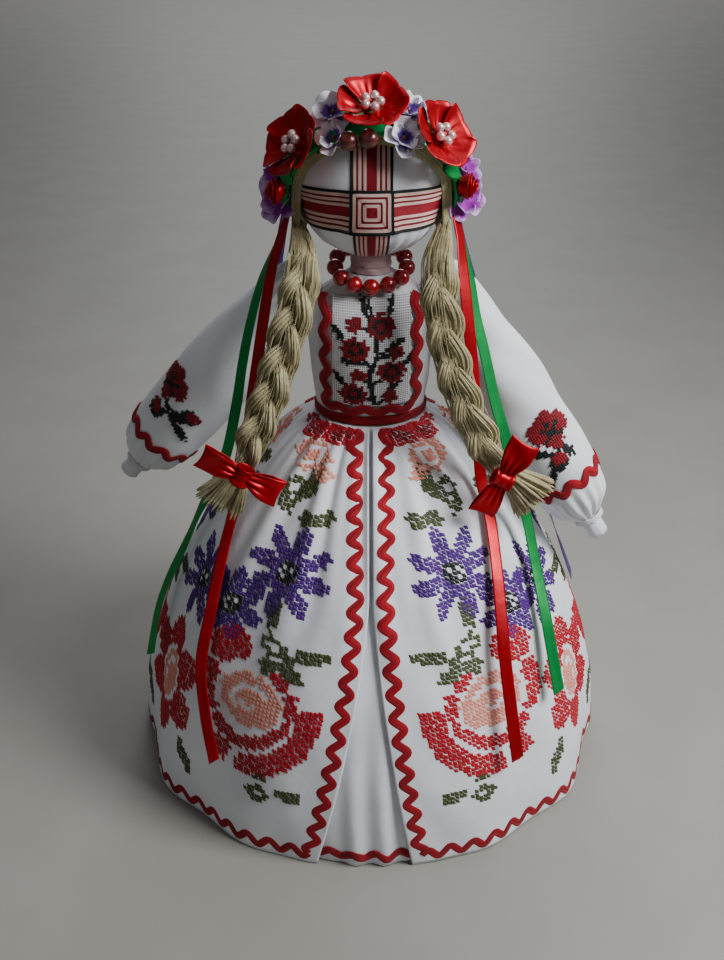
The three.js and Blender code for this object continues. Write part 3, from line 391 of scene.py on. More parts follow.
class Tree:
    """Places and joins the nodes of one material or node group."""

    def __init__(self, tree: bpy.types.NodeTree) -> None:
        """Works on an empty or filled node tree."""
        self.tree = tree

    def node(self, kind: str, **settings: object) -> Node:
        """A new shader node with its settings.

        Args:
            kind: the node's kind, without its prefix.
            settings: its settings by name.

        Returns:
            The node.
        """
        made = self.tree.nodes.new(f"ShaderNode{kind}")
        for name, value in settings.items():
            setattr(made, name, value)
        return made

    def put(self, socket: Socket, value: object) -> None:
        """Joins an output to a socket, or sets the socket's own value.

        Args:
            socket: the input.
            value: an output or a plain value.
        """
        if isinstance(value, Socket):
            self.tree.links.new(value, socket)
        else:
            socket.default_value = value

    def fill(self, node: Node, values: dict[str | int, object]) -> Node:
        """Puts a value or an output into each of a node's named or numbered sockets.

        Args:
            node: the node.
            values: values by the sockets' names or numbers.

        Returns:
            The same node.
        """
        for name, value in values.items():
            self.put(node.inputs[name], value)
        return node

    def math(self, operation: str, *values: object) -> Socket:
        """The result of a math node."""
        return self.fill(self.node("Math", operation=operation), dict(enumerate(values))).outputs[0]

    def total(self, *shares: tuple[Socket, object]) -> Socket:
        """The sum of values, each times its weight.

        Args:
            shares: each value with its weight.

        Returns:
            The sum.
        """
        run = self.math("MULTIPLY", *shares[0])
        for value, weight in shares[1:]:
            run = self.math("MULTIPLY_ADD", value, weight, run)
        return run

    def parts(self, vector: Socket) -> list[Socket]:
        """The three parts of a vector."""
        return list(self.fill(self.node("SeparateXYZ"), {0: vector}).outputs)

    def noise(self, vector: Socket, scale: object, detail: float = 3.0, roughness: float = 0.5) -> Socket:
        """Noise from 0 to 1."""
        values = {"Vector": vector, "Scale": scale, "Detail": detail, "Roughness": roughness}
        return self.fill(self.node("TexNoise"), values).outputs[0]

    def step(self, value: Socket, low: float, high: float) -> Socket:
        """A soft step from 0 at low to 1 at high."""
        made = self.node("MapRange", interpolation_type="SMOOTHSTEP")
        return self.fill(made, {"Value": value, "From Min": low, "From Max": high}).outputs[0]

    def mix(self, share: object, low: object, high: object) -> Socket:
        """A mix of two colours.

        Args:
            share: the second colour's share.
            low: the first colour.
            high: the second colour.

        Returns:
            The mixed colour.
        """
        made = self.node("Mix", data_type="RGBA")
        for socket, value in zip([s for s in made.inputs if s.enabled], (share, low, high)):
            self.put(socket, (*value, 1.0) if isinstance(value, tuple) else value)
        return next(s for s in made.outputs if s.enabled)

    def group(self, group: bpy.types.NodeTree, **values: object) -> Sockets:
        """The outputs of a node group, placed in this tree with its values."""
        return self.fill(self.node("Group", node_tree=group), values).outputs

    def cloth(self) -> Socket:
        """The cloth coordinates in millimetres."""
        return self.node("UVMap", uv_map=CLOTH_UV).outputs[0]

    def place(self) -> Socket:
        """The place in the object's own space."""
        return self.node("TexCoord").outputs["Object"]

    def emboss(self, shader: Node, *reliefs: tuple[Socket, float, float]) -> None:
        """Lays reliefs over each other on a shader's normal.

        Args:
            shader: the shader.
            reliefs: for each, its height from 0 to 1, its strength and its depth in millimetres.
        """
        under = {}
        for height, strength, depth in reliefs:
            values = {"Height": height, "Strength": strength, "Distance": depth * MM, **under}
            under = {"Normal": self.fill(self.node("Bump"), values).outputs[0]}
        self.fill(shader, under)


class GroupTree(Tree):
    """The tree of a shared node group, which is built once."""

    def __init__(self, name: str, outputs: Sequence[str], vector: bool = True, **inputs: float) -> None:
        """Starts a group.

        Args:
            name: the group's name.
            outputs: names of the outputs, all numbers.
            vector: whether it takes the cloth coordinates.
            inputs: the other inputs, with their usual values.
        """
        super().__init__(bpy.data.node_groups.new(name, "ShaderNodeTree"))
        if vector:
            self.tree.interface.new_socket("Vector", in_out="INPUT", socket_type="NodeSocketVector")
        for label, value in inputs.items():
            socket = self.tree.interface.new_socket(label, in_out="INPUT", socket_type="NodeSocketFloat")
            socket.default_value = value
        for label in outputs:
            self.tree.interface.new_socket(label, in_out="OUTPUT", socket_type="NodeSocketFloat")
        self.given = self.tree.nodes.new("NodeGroupInput").outputs

    def close(self, **results: Socket) -> bpy.types.NodeTree:
        """The finished group, with its results joined to its outputs."""
        self.fill(self.tree.nodes.new("NodeGroupOutput"), results)
        return self.tree


def make_weave() -> bpy.types.NodeTree:
    """Plain weave: threads over and under each other, with the small gaps at their corners.

    Returns:
        The group, with a height and a mask of the gaps.
    """
    tree = GroupTree("plain weave", ("Height", "Gaps"), Pitch=0.4, Slub=0.3)
    vector, pitch, slub = tree.given["Vector"], tree.given["Pitch"], tree.given["Slub"]
    wander, sway = tree.noise(vector, 0.35, 2.0), tree.math("MULTIPLY", slub, pitch)
    turns = tree.math("DIVIDE", pi, pitch)
    waves = [tree.math("SINE", tree.math("MULTIPLY", tree.math("MULTIPLY_ADD", wander, sway, part), turns))
             for part in tree.parts(vector)[:2]]
    long = tree.fill(tree.node("VectorMath", operation="MULTIPLY"), {0: vector, 1: (0.25, 2.2, 1.0)}).outputs[0]
    height = tree.total((tree.noise(long, 1.0, 2.0), slub), (tree.math("MULTIPLY", *waves), 0.5))
    corner = tree.math("MINIMUM", *(tree.math("ABSOLUTE", wave) for wave in waves))
    return tree.close(Height=height, Gaps=tree.math("SUBTRACT", 1.0, tree.step(corner, 0.0, 0.45)))


def make_streaks() -> bpy.types.NodeTree:
    """Fine fibres or threads that run along the second cloth coordinate.

    Returns:
        The group, with a height and a broad mask.
    """
    tree = GroupTree("streaks", ("Mask", "Height"), Across=4.0, Along=0.15)
    x, y, z = tree.parts(tree.given["Vector"])
    x, y = tree.math("MULTIPLY", x, tree.given["Across"]), tree.math("MULTIPLY", y, tree.given["Along"])
    long = tree.fill(tree.node("CombineXYZ"), {0: x, 1: y, 2: z}).outputs[0]
    fine, broad = tree.noise(long, 1.0, 4.0, 0.6), tree.noise(long, 0.27, 2.0)
    return tree.close(Height=fine, Mask=tree.step(tree.total((fine, 0.5), (broad, 0.5)), 0.36, 0.64))


def make_patches() -> bpy.types.NodeTree:
    """Soft broad patches in space, for handling marks and uneven dye.

    Returns:
        The group, with a mask and the height of creases.
    """
    tree = GroupTree("soft patches", ("Mask", "Creases"), vector=False, Scale=40.0)
    place, scale = tree.place(), tree.given["Scale"]
    creases = tree.noise(place, tree.math("MULTIPLY", scale, 3.1), 4.0, 0.55)
    return tree.close(Mask=tree.step(tree.noise(place, scale), 0.32, 0.68), Creases=creases)


def make_ribs() -> bpy.types.NodeTree:
    """Slanting ribs, as in plied thread and woven braid.

    Returns:
        The group, with a height.
    """
    tree = GroupTree("slanting ribs", ("Height",), Pitch=0.8, Slant=0.8)
    x, y, _ = tree.parts(tree.given["Vector"])
    run = tree.math("MULTIPLY_ADD", x, tree.given["Slant"], y)
    wave = tree.math("SINE", tree.math("MULTIPLY", run, tree.math("DIVIDE", TURN, tree.given["Pitch"])))
    return tree.close(Height=tree.math("MULTIPLY_ADD", wave, 0.5, 0.5))


WEAVE, STREAKS, PATCHES, RIBS = make_weave(), make_streaks(), make_patches(), make_ribs()


# Finishes


@dataclass(frozen=True)
class Finish:
    """A finish: a named material with a Principled shader, its colour and a deeper one."""

    name: str
    colour: Colour
    deep: Colour

    def dress(self, tree: Tree, shader: Node) -> None:
        """Gives the shader this finish's look."""
        raise NotImplementedError

    def make(self) -> Material:
        """The finish as a material.

        Returns:
            The new material.
        """
        material = bpy.data.materials.new(self.name)
        material.use_nodes = True
        self.dress(Tree(material.node_tree), material.node_tree.nodes["Principled BSDF"])
        return material


@dataclass(frozen=True)
class Cotton(Finish):
    """Plain woven cotton, with painted shade in the gaps of its weave."""

    pitch: float = 0.42
    weave_depth: float = 0.05
    crease_depth: float = 0.8

    def dress(self, tree: Tree, shader: Node) -> None:
        """Weave over soft creases.

        Args:
            tree: the material's tree.
            shader: its shader.
        """
        weave = tree.group(WEAVE, Vector=tree.cloth(), Pitch=self.pitch, Slub=0.35)
        patches = tree.group(PATCHES, Scale=38.0)
        tone = tree.mix(patches["Mask"], self.deep, self.colour)
        # Painted shade: the weave's gaps are darkened towards the deeper colour, over random patches of tone.
        tree.fill(shader, {"Base Color": tree.mix(tree.math("MULTIPLY", weave["Gaps"], 0.22), tone, self.deep),
                           "Roughness": tree.math("MULTIPLY_ADD", weave["Height"], 0.1, 0.8),
                           "Sheen Weight": 0.12, "Sheen Roughness": 0.5, "Specular IOR Level": 0.25})
        tree.emboss(shader, (patches["Creases"], 0.35, self.crease_depth),
                    (weave["Height"], 0.5, self.weave_depth))


@dataclass(frozen=True)
class CountedCloth(Finish):
    """Counted-thread cloth: square blocks of threads with a deep hole at each corner, filled with painted
    shade.
    """

    count: float = 0.98

    def dress(self, tree: Tree, shader: Node) -> None:
        """Blocks, their threads and the holes, with painted shade in the holes.

        Args:
            tree: the material's tree.
            shader: its shader.
        """
        cloth = tree.cloth()
        blocks = tree.group(WEAVE, Vector=cloth, Pitch=self.count, Slub=0.0)
        threads = tree.group(WEAVE, Vector=cloth, Pitch=self.count / 4, Slub=0.1)
        patches = tree.group(PATCHES, Scale=60.0)
        edges = [tree.math("ABSOLUTE", tree.math("SINE", tree.math("MULTIPLY", part, pi / self.count)))
                 for part in tree.parts(cloth)[:2]]
        holes = tree.math("SUBTRACT", 1.0, tree.step(tree.math("MAXIMUM", *edges), 0.45, 0.9))
        tone = tree.mix(tree.math("MULTIPLY", patches["Mask"], 0.4), self.colour,
                        tuple(0.88 * c for c in self.colour))
        # Painted shade: each hole takes the near-black deeper colour.
        tree.fill(shader, {"Base Color": tree.mix(holes, tone, self.deep), "Roughness": 0.85,
                           "Sheen Weight": 0.2})
        tree.emboss(shader, (tree.math("SUBTRACT", 1.0, holes), 0.9, 0.25), (blocks["Height"], 0.3, 0.08),
                    (threads["Height"], 0.5, 0.05))


@dataclass(frozen=True)
class Satin(Finish):
    """Satin ribbon: long fine threads with a broad soft shine."""

    gloss: float = 0.36

    def dress(self, tree: Tree, shader: Node) -> None:
        """Threads along the ribbon over soft creases.

        Args:
            tree: the material's tree.
            shader: its shader.
        """
        threads = tree.group(STREAKS, Vector=tree.cloth(), Across=9.0, Along=0.06)
        patches = tree.group(PATCHES, Scale=70.0)
        share = tree.total((patches["Mask"], 0.45), (threads["Mask"], 0.35))
        tree.fill(shader, {"Base Color": tree.mix(share, self.colour, self.deep), "Metallic": 0.5,
                           "Roughness": tree.math("MULTIPLY_ADD", threads["Height"], 0.14, self.gloss - 0.07),
                           "Specular IOR Level": 0.3})
        tree.emboss(shader, (patches["Creases"], 0.3, 0.45), (threads["Height"], 0.3, 0.025))


@dataclass(frozen=True)
class Fibre(Finish):
    """Flax yarn or stitching thread: fibres along the strand, lighter and deeper."""

    across: float = 4.6
    along: float = 0.13
    ply: float = 3.4
    ply_shade: float = 0.1
    rough: float = 0.78
    depth: float = 0.3

    def dress(self, tree: Tree, shader: Node) -> None:
        """Fibres over the slanting plies.

        Args:
            tree: the material's tree.
            shader: its shader.
        """
        cloth = tree.cloth()
        fibres = tree.group(STREAKS, Vector=cloth, Across=self.across, Along=self.along)
        ribs = tree.group(RIBS, Vector=cloth, Pitch=self.ply, Slant=0.9)
        patches = tree.group(PATCHES, Scale=110.0)
        share = tree.total((patches["Mask"], 0.28), (fibres["Mask"], 0.62), (ribs["Height"], self.ply_shade))
        tree.fill(shader, {"Base Color": tree.mix(share, self.deep, self.colour),
                           "Roughness": tree.math("MULTIPLY_ADD", fibres["Height"], 0.15, self.rough - 0.07),
                           "Sheen Weight": 0.08, "Sheen Roughness": 0.4, "Specular IOR Level": 0.3})
        tree.emboss(shader, (ribs["Height"], 0.3, self.depth * 0.8), (fibres["Height"], 0.7, self.depth))


@dataclass(frozen=True)
class WovenBraid(Finish):
    """Flat woven braid with slanting ribs, for the rick-rack."""

    def dress(self, tree: Tree, shader: Node) -> None:
        """Ribs over soft creases, with painted shade between the ribs.

        Args:
            tree: the material's tree.
            shader: its shader.
        """
        ribs, patches = (tree.group(RIBS, Vector=tree.cloth(), Pitch=0.95, Slant=0.75),
                         tree.group(PATCHES, Scale=90.0))
        # Painted shade: the braid is darker between its ribs and lighter on them, over random patches of tone.
        share = tree.total((patches["Mask"], 0.4), (ribs["Height"], 0.6))
        tree.fill(shader, {"Base Color": tree.mix(share, self.deep, self.colour), "Roughness": 0.68,
                           "Sheen Weight": 0.05, "Specular IOR Level": 0.25})
        tree.emboss(shader, (patches["Creases"], 0.3, 0.2), (ribs["Height"], 0.8, 0.16))


@dataclass(frozen=True)
class Lustre(Finish):
    """Pearl, glass bead or lacquered berry: a hard coated ball with uneven depth of colour."""

    rough: float = 0.2
    coat: float = 0.8
    metallic: float = 0.0

    def dress(self, tree: Tree, shader: Node) -> None:
        """A faintly uneven coat.

        Args:
            tree: the material's tree.
            shader: its shader.
        """
        patches = tree.group(PATCHES, Scale=260.0)
        tree.fill(shader, {"Base Color": tree.mix(patches["Mask"], self.deep, self.colour),
                           "Metallic": self.metallic,
                           "Roughness": tree.math("MULTIPLY_ADD", patches["Creases"], 0.08, self.rough - 0.04),
                           "Coat Weight": self.coat, "Coat Roughness": 0.08})
        tree.emboss(shader, (patches["Creases"], 0.1, 0.03))


@dataclass(frozen=True)
class PetalCloth(Finish):
    """Stiffened blossom cloth, dyed at the heart, with a deep middle and a pale rim."""

    rim: Colour = (1.0, 1.0, 1.0)
    reach: float = 0.62

    def dress(self, tree: Tree, shader: Node) -> None:
        """The dye's ragged edge, and veins.

        Args:
            tree: the material's tree.
            shader: its shader.
        """
        cloth = tree.cloth()
        patches = tree.group(PATCHES, Scale=160.0)
        veins = tree.group(STREAKS, Vector=cloth, Across=1.4, Along=0.12)
        place = ragged = tree.math("DIVIDE", tree.parts(cloth)[1], 10.0)
        for mask, weight in ((veins["Mask"], 0.2), (patches["Mask"], 0.16)):
            ragged = tree.math("MULTIPLY_ADD", tree.math("SUBTRACT", mask, 0.5), weight, ragged)
        dyed = tree.mix(tree.step(ragged, self.reach - 0.16, self.reach + 0.16), self.colour, self.rim)
        tree.fill(shader, {"Base Color": tree.mix(tree.step(place, 0.12, 0.26), self.deep, dyed),
                           "Roughness": 0.7, "Sheen Weight": 0.06, "Specular IOR Level": 0.25})
        tree.emboss(shader, (patches["Creases"], 0.4, 0.35), (veins["Height"], 0.5, 0.08))


@dataclass(frozen=True)
class Board(Finish):
    """Grey-brown card with pressed fibres."""

    def dress(self, tree: Tree, shader: Node) -> None:
        """Fibres over soft patches.

        Args:
            tree: the material's tree.
            shader: its shader.
        """
        patches, fibres = tree.group(PATCHES, Scale=25.0), tree.noise(tree.place(), 1800.0, 3.0, 0.7)
        share = tree.total((patches["Mask"], 0.4), (tree.step(fibres, 0.35, 0.7), 0.6))
        tree.fill(shader, {"Base Color": tree.mix(share, self.deep, self.colour), "Roughness": 0.9})
        tree.emboss(shader, (patches["Creases"], 0.2, 0.4), (fibres, 0.5, 0.08))


@dataclass(frozen=True)
class Stone(Finish):
    """The pale, plain floor."""

    def dress(self, tree: Tree, shader: Node) -> None:
        """Soft patches.

        Args:
            tree: the material's tree.
            shader: its shader.
        """
        patches = tree.group(PATCHES, Scale=14.0)
        tree.fill(shader, {"Base Color": tree.mix(patches["Mask"], self.deep, self.colour), "Roughness": 0.55})
        tree.emboss(shader, (patches["Creases"], 0.1, 0.2))


def floss(name: str, light: Colour, dark: Colour) -> Material:
    """Stranded cotton for stitches and windings."""
    return Fibre(name, light, dark, across=8.0, along=0.5, ply=0.9, rough=0.55, depth=0.05).make()


class Finishes:
    """Every finish of the doll, made once."""

    def __init__(self) -> None:
        """Makes the materials."""
        # Each cotton's deeper colour serves random patches of tone and the painted shade in the weave's gaps.
        self.white = Cotton("white cotton", (0.85, 0.86, 0.90), (0.76, 0.77, 0.82)).make()
        self.skin = Cotton("neck cloth", (0.74, 0.56, 0.54), (0.62, 0.44, 0.43)).make()
        # The counted cloth's deeper, near-black colour is the painted shade in its holes.
        self.counted = CountedCloth("counted cloth", (0.88, 0.88, 0.90), (0.09, 0.085, 0.10)).make()
        # The rick-rack's deeper colour serves random patches of tone and the painted shade between its ribs.
        self.rick_rack = WovenBraid("red rick-rack", (0.47, 0.002, 0.016), (0.20, 0.001, 0.006)).make()
        self.red_satin = Satin("red satin", (0.50, 0.001, 0.012), (0.26, 0.001, 0.005)).make()
        self.green_satin = Satin("green satin", (0.008, 0.33, 0.075), (0.005, 0.20, 0.04)).make()
        self.violet_satin = Satin("violet satin", (0.11, 0.04, 0.32), (0.06, 0.022, 0.20)).make()
        self.flax = Fibre("flax yarn", (0.66, 0.59, 0.355), (0.22, 0.175, 0.08)).make()
        self.stitches = [floss("violet floss", (0.10, 0.016, 0.25), (0.045, 0.008, 0.13)),
                         floss("red floss", (0.54, 0.004, 0.022), (0.33, 0.002, 0.012)),
                         floss("salmon floss", (0.86, 0.36, 0.27), (0.70, 0.24, 0.18)),
                         floss("olive floss", (0.085, 0.10, 0.03), (0.04, 0.05, 0.014)),
                         floss("wine floss", (0.30, 0.002, 0.012), (0.13, 0.001, 0.005)),
                         floss("black floss", (0.010, 0.014, 0.012), (0.004, 0.006, 0.005))]
        self.red_thread = floss("red thread", (0.36, 0.002, 0.016), (0.23, 0.001, 0.010))
        self.windings = [floss("cream thread", (0.83, 0.60, 0.53), (0.68, 0.44, 0.38)), self.red_thread,
                         floss("dark red thread", (0.24, 0.002, 0.014), (0.14, 0.001, 0.008)),
                         floss("black thread", (0.010, 0.012, 0.014), (0.004, 0.005, 0.006))]
        self.white_thread = floss("white thread", (0.80, 0.80, 0.82), (0.62, 0.62, 0.65))
        self.pearl = Lustre("pink pearl", (0.86, 0.58, 0.57), (0.66, 0.38, 0.40), 0.3, 1.0, 0.5).make()
        self.bead = Lustre("red pearl bead", (0.40, 0.003, 0.010), (0.30, 0.002, 0.007), 0.26, 1.0, 0.3).make()
        self.berry = Lustre("brown berry", (0.15, 0.016, 0.012), (0.05, 0.005, 0.004), 0.34, 0.6).make()
        self.violet_petal = PetalCloth("violet petal", (0.10, 0.03, 0.30), (0.05, 0.015, 0.16),
                                       (0.78, 0.77, 0.84), 0.55).make()
        self.magenta_petal = PetalCloth("magenta petal", (0.33, 0.015, 0.38), (0.20, 0.008, 0.26),
                                        (0.62, 0.44, 0.70), 0.86).make()
        self.card = Board("card", (0.42, 0.34, 0.24), (0.31, 0.24, 0.16)).make()
        self.stone = Stone("pale floor", (0.32, 0.31, 0.275), (0.30, 0.29, 0.255)).make()


FINISH = Finishes()


# Braid and stitches laid on cloth


def surface_normals(surface: Surface, a: Array, b: Array, axis: Axis = UPRIGHT) -> Array:
    """Unit normals of a surface, away from an axis.

    Args:
        surface: gives points for two lengths in millimetres.
        a: first lengths.
        b: second lengths.
        axis: a point and the unit direction of the axis.

    Returns:
        A unit row for each place.
    """
    step = 0.5
    down = surface(a + step, b) - surface(a - step, b)
    over = surface(a, b + step) - surface(a, b - step)
    normal = unit(np.cross(down, over))
    from_axis = surface(a, b) - np.asarray(axis[0], float)
    along = np.asarray(axis[1], float)
    from_axis = from_axis - (from_axis @ along)[..., None] * along
    return normal * np.where(np.sum(normal * from_axis, axis=-1, keepdims=True) < 0, -1.0, 1.0)


@dataclass(frozen=True)
class RickRack:
    """Red rick-rack braid, the same on the whole doll."""

    width: float = 4.5
    swing: float = 2.1
    pitch: float = 11.4
    height: float = 0.42
    step: float = 0.6

    def lay(self, builder: PieceBuilder, surface: Surface, length: float, closed: bool = False,
            lift: float = 0.55, axis: Axis = UPRIGHT) -> None:
        """Lays the braid on a surface along its first coordinate.

        Args:
            builder: the piece that takes it.
            surface: gives points for lengths along the run and offsets across it.
            length: length of the run.
            closed: whether the run is a loop.
            lift: height of the braid's middle over the cloth.
            axis: the axis that the surface goes round.
        """
        count = max(int(length / self.step), 24)
        waves = max(round(length / self.pitch), 1)
        run = np.arange(count) / count * length if closed else np.linspace(0, length, count)
        phase = run / length * waves * TURN
        offset = self.swing * np.sin(phase) * (1 + 0.12 * np.sin(phase) ** 2)
        outward = surface_normals(surface, run, offset, axis)
        path = surface(run, offset) + outward * lift
        builder.add_tube(path, self.width / 2, sides=12, flat=2 * self.height / self.width, closed=closed,
                         bend=outward)


class Floss(Enum):
    """Colours of the stitches, in the order of a stitched piece's finishes."""

    VIOLET = 0
    RED = 1
    SALMON = 2
    OLIVE = 3
    WINE = 4
    BLACK = 5


@dataclass(frozen=True)
class Mark:
    """One stitched shape: an oval, a star or a part of a ring; no floss leaves its place bare."""

    floss: Floss | None
    x: float
    y: float
    wide: float
    high: float
    spin: float = 0.0
    inner: float = 0.0
    points: int = 0
    notch: float = 0.4
    start: float = -180.0
    end: float = 180.0

    def covers(self, x: Array, y: Array) -> Array:
        """Which places the shape covers.

        Args:
            x: sideways places.
            y: upward places.

        Returns:
            True where the shape lies.
        """
        angle = radians(self.spin)
        right, up = x - self.x, y - self.y
        right, up = (right * cos(angle) + up * sin(angle)) / self.wide, \
            (up * cos(angle) - right * sin(angle)) / self.high
        reach, turn = np.hypot(right, up), np.arctan2(up, right)
        edge = np.ones_like(reach)
        if self.points:
            ray = np.abs((turn * self.points / TURN + 0.5) % 1 - 0.5) * 2
            edge = self.notch + (1 - self.notch) * (1 - ray)
        ragged = (0.8 * np.sin(1.7 * x + 0.6 * y) * np.sin(1.3 * y - 0.8 * x)
                  / max(min(self.wide, self.high), 2.4))
        degrees = np.degrees(turn)
        return ((reach <= edge + ragged) & (reach >= self.inner)
                & (degrees >= self.start) & (degrees <= self.end))


@dataclass(frozen=True)
class Motif:
    """A group of marks; later marks lie over earlier ones."""

    marks: tuple[Mark, ...]
    cell: float

    def stitches(self, mirror: float = 1.0) -> list[tuple[int, float, float]]:
        """The colour number and place of each cross stitch.

        Args:
            mirror: 1, or -1 for the mirrored motif.

        Returns:
            Rows of colour, x and y.
        """
        reach = max(abs(m.x) + abs(m.y) + max(m.wide, m.high) for m in self.marks) + self.cell
        count = int(reach / self.cell)
        ticks = np.arange(-count, count + 1) * self.cell
        x, y = np.meshgrid(ticks, ticks)
        colour = np.full(x.shape, -1)
        for mark in self.marks:
            colour[mark.covers(x, y)] = -1 if mark.floss is None else mark.floss.value
        return [(int(colour[i]), float(mirror * x[i]), float(y[i])) for i in zip(*np.nonzero(colour >= 0))]


@dataclass
class StitchedPiece:
    """Cross stitches gathered over a cloth surface."""

    cell: float
    surface: Surface
    axis: Axis = UPRIGHT
    lift: float = 0.25
    places: list[tuple[int, float, float]] = field(default_factory=list)

    def sew(self, motif: Motif, across: float, up: float, mirror: float = 1.0, spin: float = 0.0) -> None:
        """Adds a motif at a place of the surface.

        Args:
            motif: what is sewn.
            across: the place's first length.
            up: the place's second length.
            mirror: 1, or -1 for the mirrored motif.
            spin: its turn in degrees.
        """
        turn = radians(spin)
        for colour, x, y in motif.stitches(mirror):
            self.places.append((colour, across + x * cos(turn) - y * sin(turn),
                                up + x * sin(turn) + y * cos(turn)))

    def gather(self, builder: PieceBuilder) -> None:
        """Makes each stitch of two crossing threads and adds them to a piece.

        Args:
            builder: the piece that takes them.
        """
        data = np.array(self.places)
        rng = np.random.default_rng(11)
        data[:, 1:] += rng.normal(0, 0.07 * self.cell, (len(data), 2))
        rise = np.array([-0.1, 0.75, 0.75, -0.1]) * 0.26 * self.cell
        run = np.array([-1, -0.4, 0.4, 1]) * 0.6 * self.cell
        girth = np.array([0.165, 0.23, 0.23, 0.165]) * self.cell
        quads = quads_of(np.arange(12).reshape(3, 4))
        across, down = np.meshgrid(np.arange(4) * 0.35 * self.cell, np.arange(3) * 0.2 * self.cell)
        for colour in np.unique(data[:, 0]).astype(int):
            centre = data[data[:, 0] == colour, 1:]
            for order, slope in enumerate((1.0, -1.0)):
                along = run[None] * (1 + rng.normal(0, 0.05, (len(centre), 1)))
                rows = []
                for side in (-1.0, 0.0, 1.0):
                    over = centre[:, :1] + 0.92 * (along - side * girth * slope)
                    up = centre[:, 1:] + 0.92 * (along * slope + side * girth)
                    lift = self.lift + rise + (1 - abs(side)) * 0.17 * self.cell + order * 0.12 * self.cell
                    outward = surface_normals(self.surface, over, up, self.axis)
                    rows.append(self.surface(over, up) + outward * np.broadcast_to(lift, over.shape)[..., None])
                faces = (quads[None] + 12 * np.arange(len(centre))[:, None, None]).reshape(-1, 4)
                cloth = np.tile(spots(down.ravel(), across.ravel()), (len(centre), 1))
                cloth += np.repeat(rng.uniform(0, 40, (len(centre), 2)), 12, axis=0)
                builder.add(np.stack(rows, axis=1).reshape(-1, 3), faces, cloth, colour)


# Skirts


@dataclass(frozen=True)
class SkirtShape:
    """The card bell and the two cloths on it, in millimetres."""

    height: float = 190.0
    waist: float = 23.5
    hem: float = 119.0
    fullness: float = 0.83
    cloth: float = 0.8
    opening_top: float = 128.0
    opening_right: float = 19.8
    opening_left: float = 25.4
    opening_least: float = 0.9
    arm_angle: float = 1.45
    arm_height: float = 0.8
    folds: int = 11
    calm: float = 1.2
    hem_lift: float = 0.6

    def bell(self, share: Array) -> Array:
        """Radius of the card at a share of the height."""
        share = np.clip(share, 0, 1)
        return self.waist + (self.hem - self.waist) * (1 - share**2) ** self.fullness

    def half_opening(self, share: Array, at_hem: float) -> Array:
        """Half width of the front opening at a share of the height."""
        left = np.maximum(1 - share * self.height / self.opening_top, 0)
        return self.opening_least + (at_hem - self.opening_least) * left**1.3

    def edge_angles(self, share: Array) -> tuple[Array, Array]:
        """Angles of the two front edges, from straight ahead.

        Args:
            share: heights as shares of the skirt's.

        Returns:
            The first edge's angles and the last edge's.
        """
        radius = self.bell(share) + self.cloth + 0.4
        first = np.arcsin(np.clip(self.half_opening(share, self.opening_right) / radius, -1, 1))
        last = TURN - np.arcsin(np.clip(self.half_opening(share, self.opening_left) / radius, -1, 1))
        return first, last

    def over_angle(self, share: Array, across: Array) -> Array:
        """Angle of a place between the two front edges."""
        first, last = self.edge_angles(share)
        return first + (last - first) * across

    def over_inner(self, share: Array, across: Array) -> Array:
        """Inner radius of the overskirt, with its broad folds.

        Args:
            share: heights as shares of the skirt's.
            across: places round the skirt, from 0 at one front edge to 1 at the other.

        Returns:
            Radii.
        """
        share = np.clip(share, 0, 1)
        calm = np.minimum(1, np.minimum(across, 1 - across) * self.folds / self.calm)
        fade = share**0.7
        wave = 1 - np.cos(TURN * self.folds * across)
        return (self.bell(share) + self.cloth + 1.7 + (0.4 - 1.7) * share
                + (2.2 + (0.3 - 2.2) * fade) * calm * wave)

    @staticmethod
    def at(radius: Array, angle: Array, height: Array) -> Array:
        """Points round the doll's middle, the angle from straight ahead."""
        return spots(radius * np.sin(angle), -radius * np.cos(angle), height + 0 * radius)

    def gathers(self, share: Array, across: Array) -> Array:
        """Fine gathers that run down from the waist and fade, from -1 to 1.

        Args:
            share: heights as shares of the skirt's.
            across: places round the skirt, from 0 at one front edge to 1 at the other.

        Returns:
            Heights of the gathers.
        """
        wander = 0.35 * np.sin(9 * share + 31 * across) + 0.2 * np.sin(TURN * 5 * across)
        wave = np.sin(TURN * 23 * across + 2 * wander) + 0.5 * np.sin(TURN * 39 * across + 3 * wander)
        return wave / 1.5

    def over_outer(self, share: Array, across: Array) -> Array:
        """Outer points of the overskirt's cloth.

        Args:
            share: heights as shares of the skirt's.
            across: places round the skirt, from 0 at one front edge to 1 at the other.

        Returns:
            Rows of points.
        """
        share, across = np.asarray(share, float), np.clip(across, 0, 1)
        angle = self.over_angle(share, across)
        radius = self.over_inner(share, across) + self.cloth
        least = self.bell(share) + 2 * self.cloth + 0.3
        from_arm = (off_front(angle) - self.arm_angle) / 0.42
        by_arm = np.exp(-(from_arm**2) - ((share - self.arm_height) / 0.15) ** 2)
        radius = radius + (1 - by_arm) * (1.6 + 1.7 * self.gathers(share, across)) * ease(0.35, 0.84, share) * (
            1 - 0.62 * ease(0.93, 1.0, share))
        radius = radius - 0.8 * by_arm * (radius - least)
        pucker = np.sin(91 * across + 8 * share + 2 * np.sin(31 * across)) * np.sin(15 * share + 40 * across)
        radius = radius + 0.4 * (1 - by_arm) * pucker
        return self.at(radius, angle, self.hem_lift + share * (self.height - self.hem_lift))

    def over_place(self, angle: Array, height: Array) -> Array:
        """Outer points of the overskirt at an angle from straight ahead and a height.

        Args:
            angle: angles from straight ahead.
            height: heights.

        Returns:
            Rows of points.
        """
        share = (height - self.hem_lift) / (self.height - self.hem_lift)
        first, last = self.edge_angles(share)
        across = (np.mod(angle, TURN) - first) / (last - first)
        return self.over_outer(share, across)

    def slant(self) -> tuple[Array, Array]:
        """Heights, and lengths down the cloth from the hem to them.

        Returns:
            The heights and the lengths.
        """
        height = np.linspace(0, self.height, 400)
        radius = self.bell(height / self.height)
        return height, np.concatenate([[0], np.cumsum(np.hypot(np.diff(height), np.diff(radius)))])


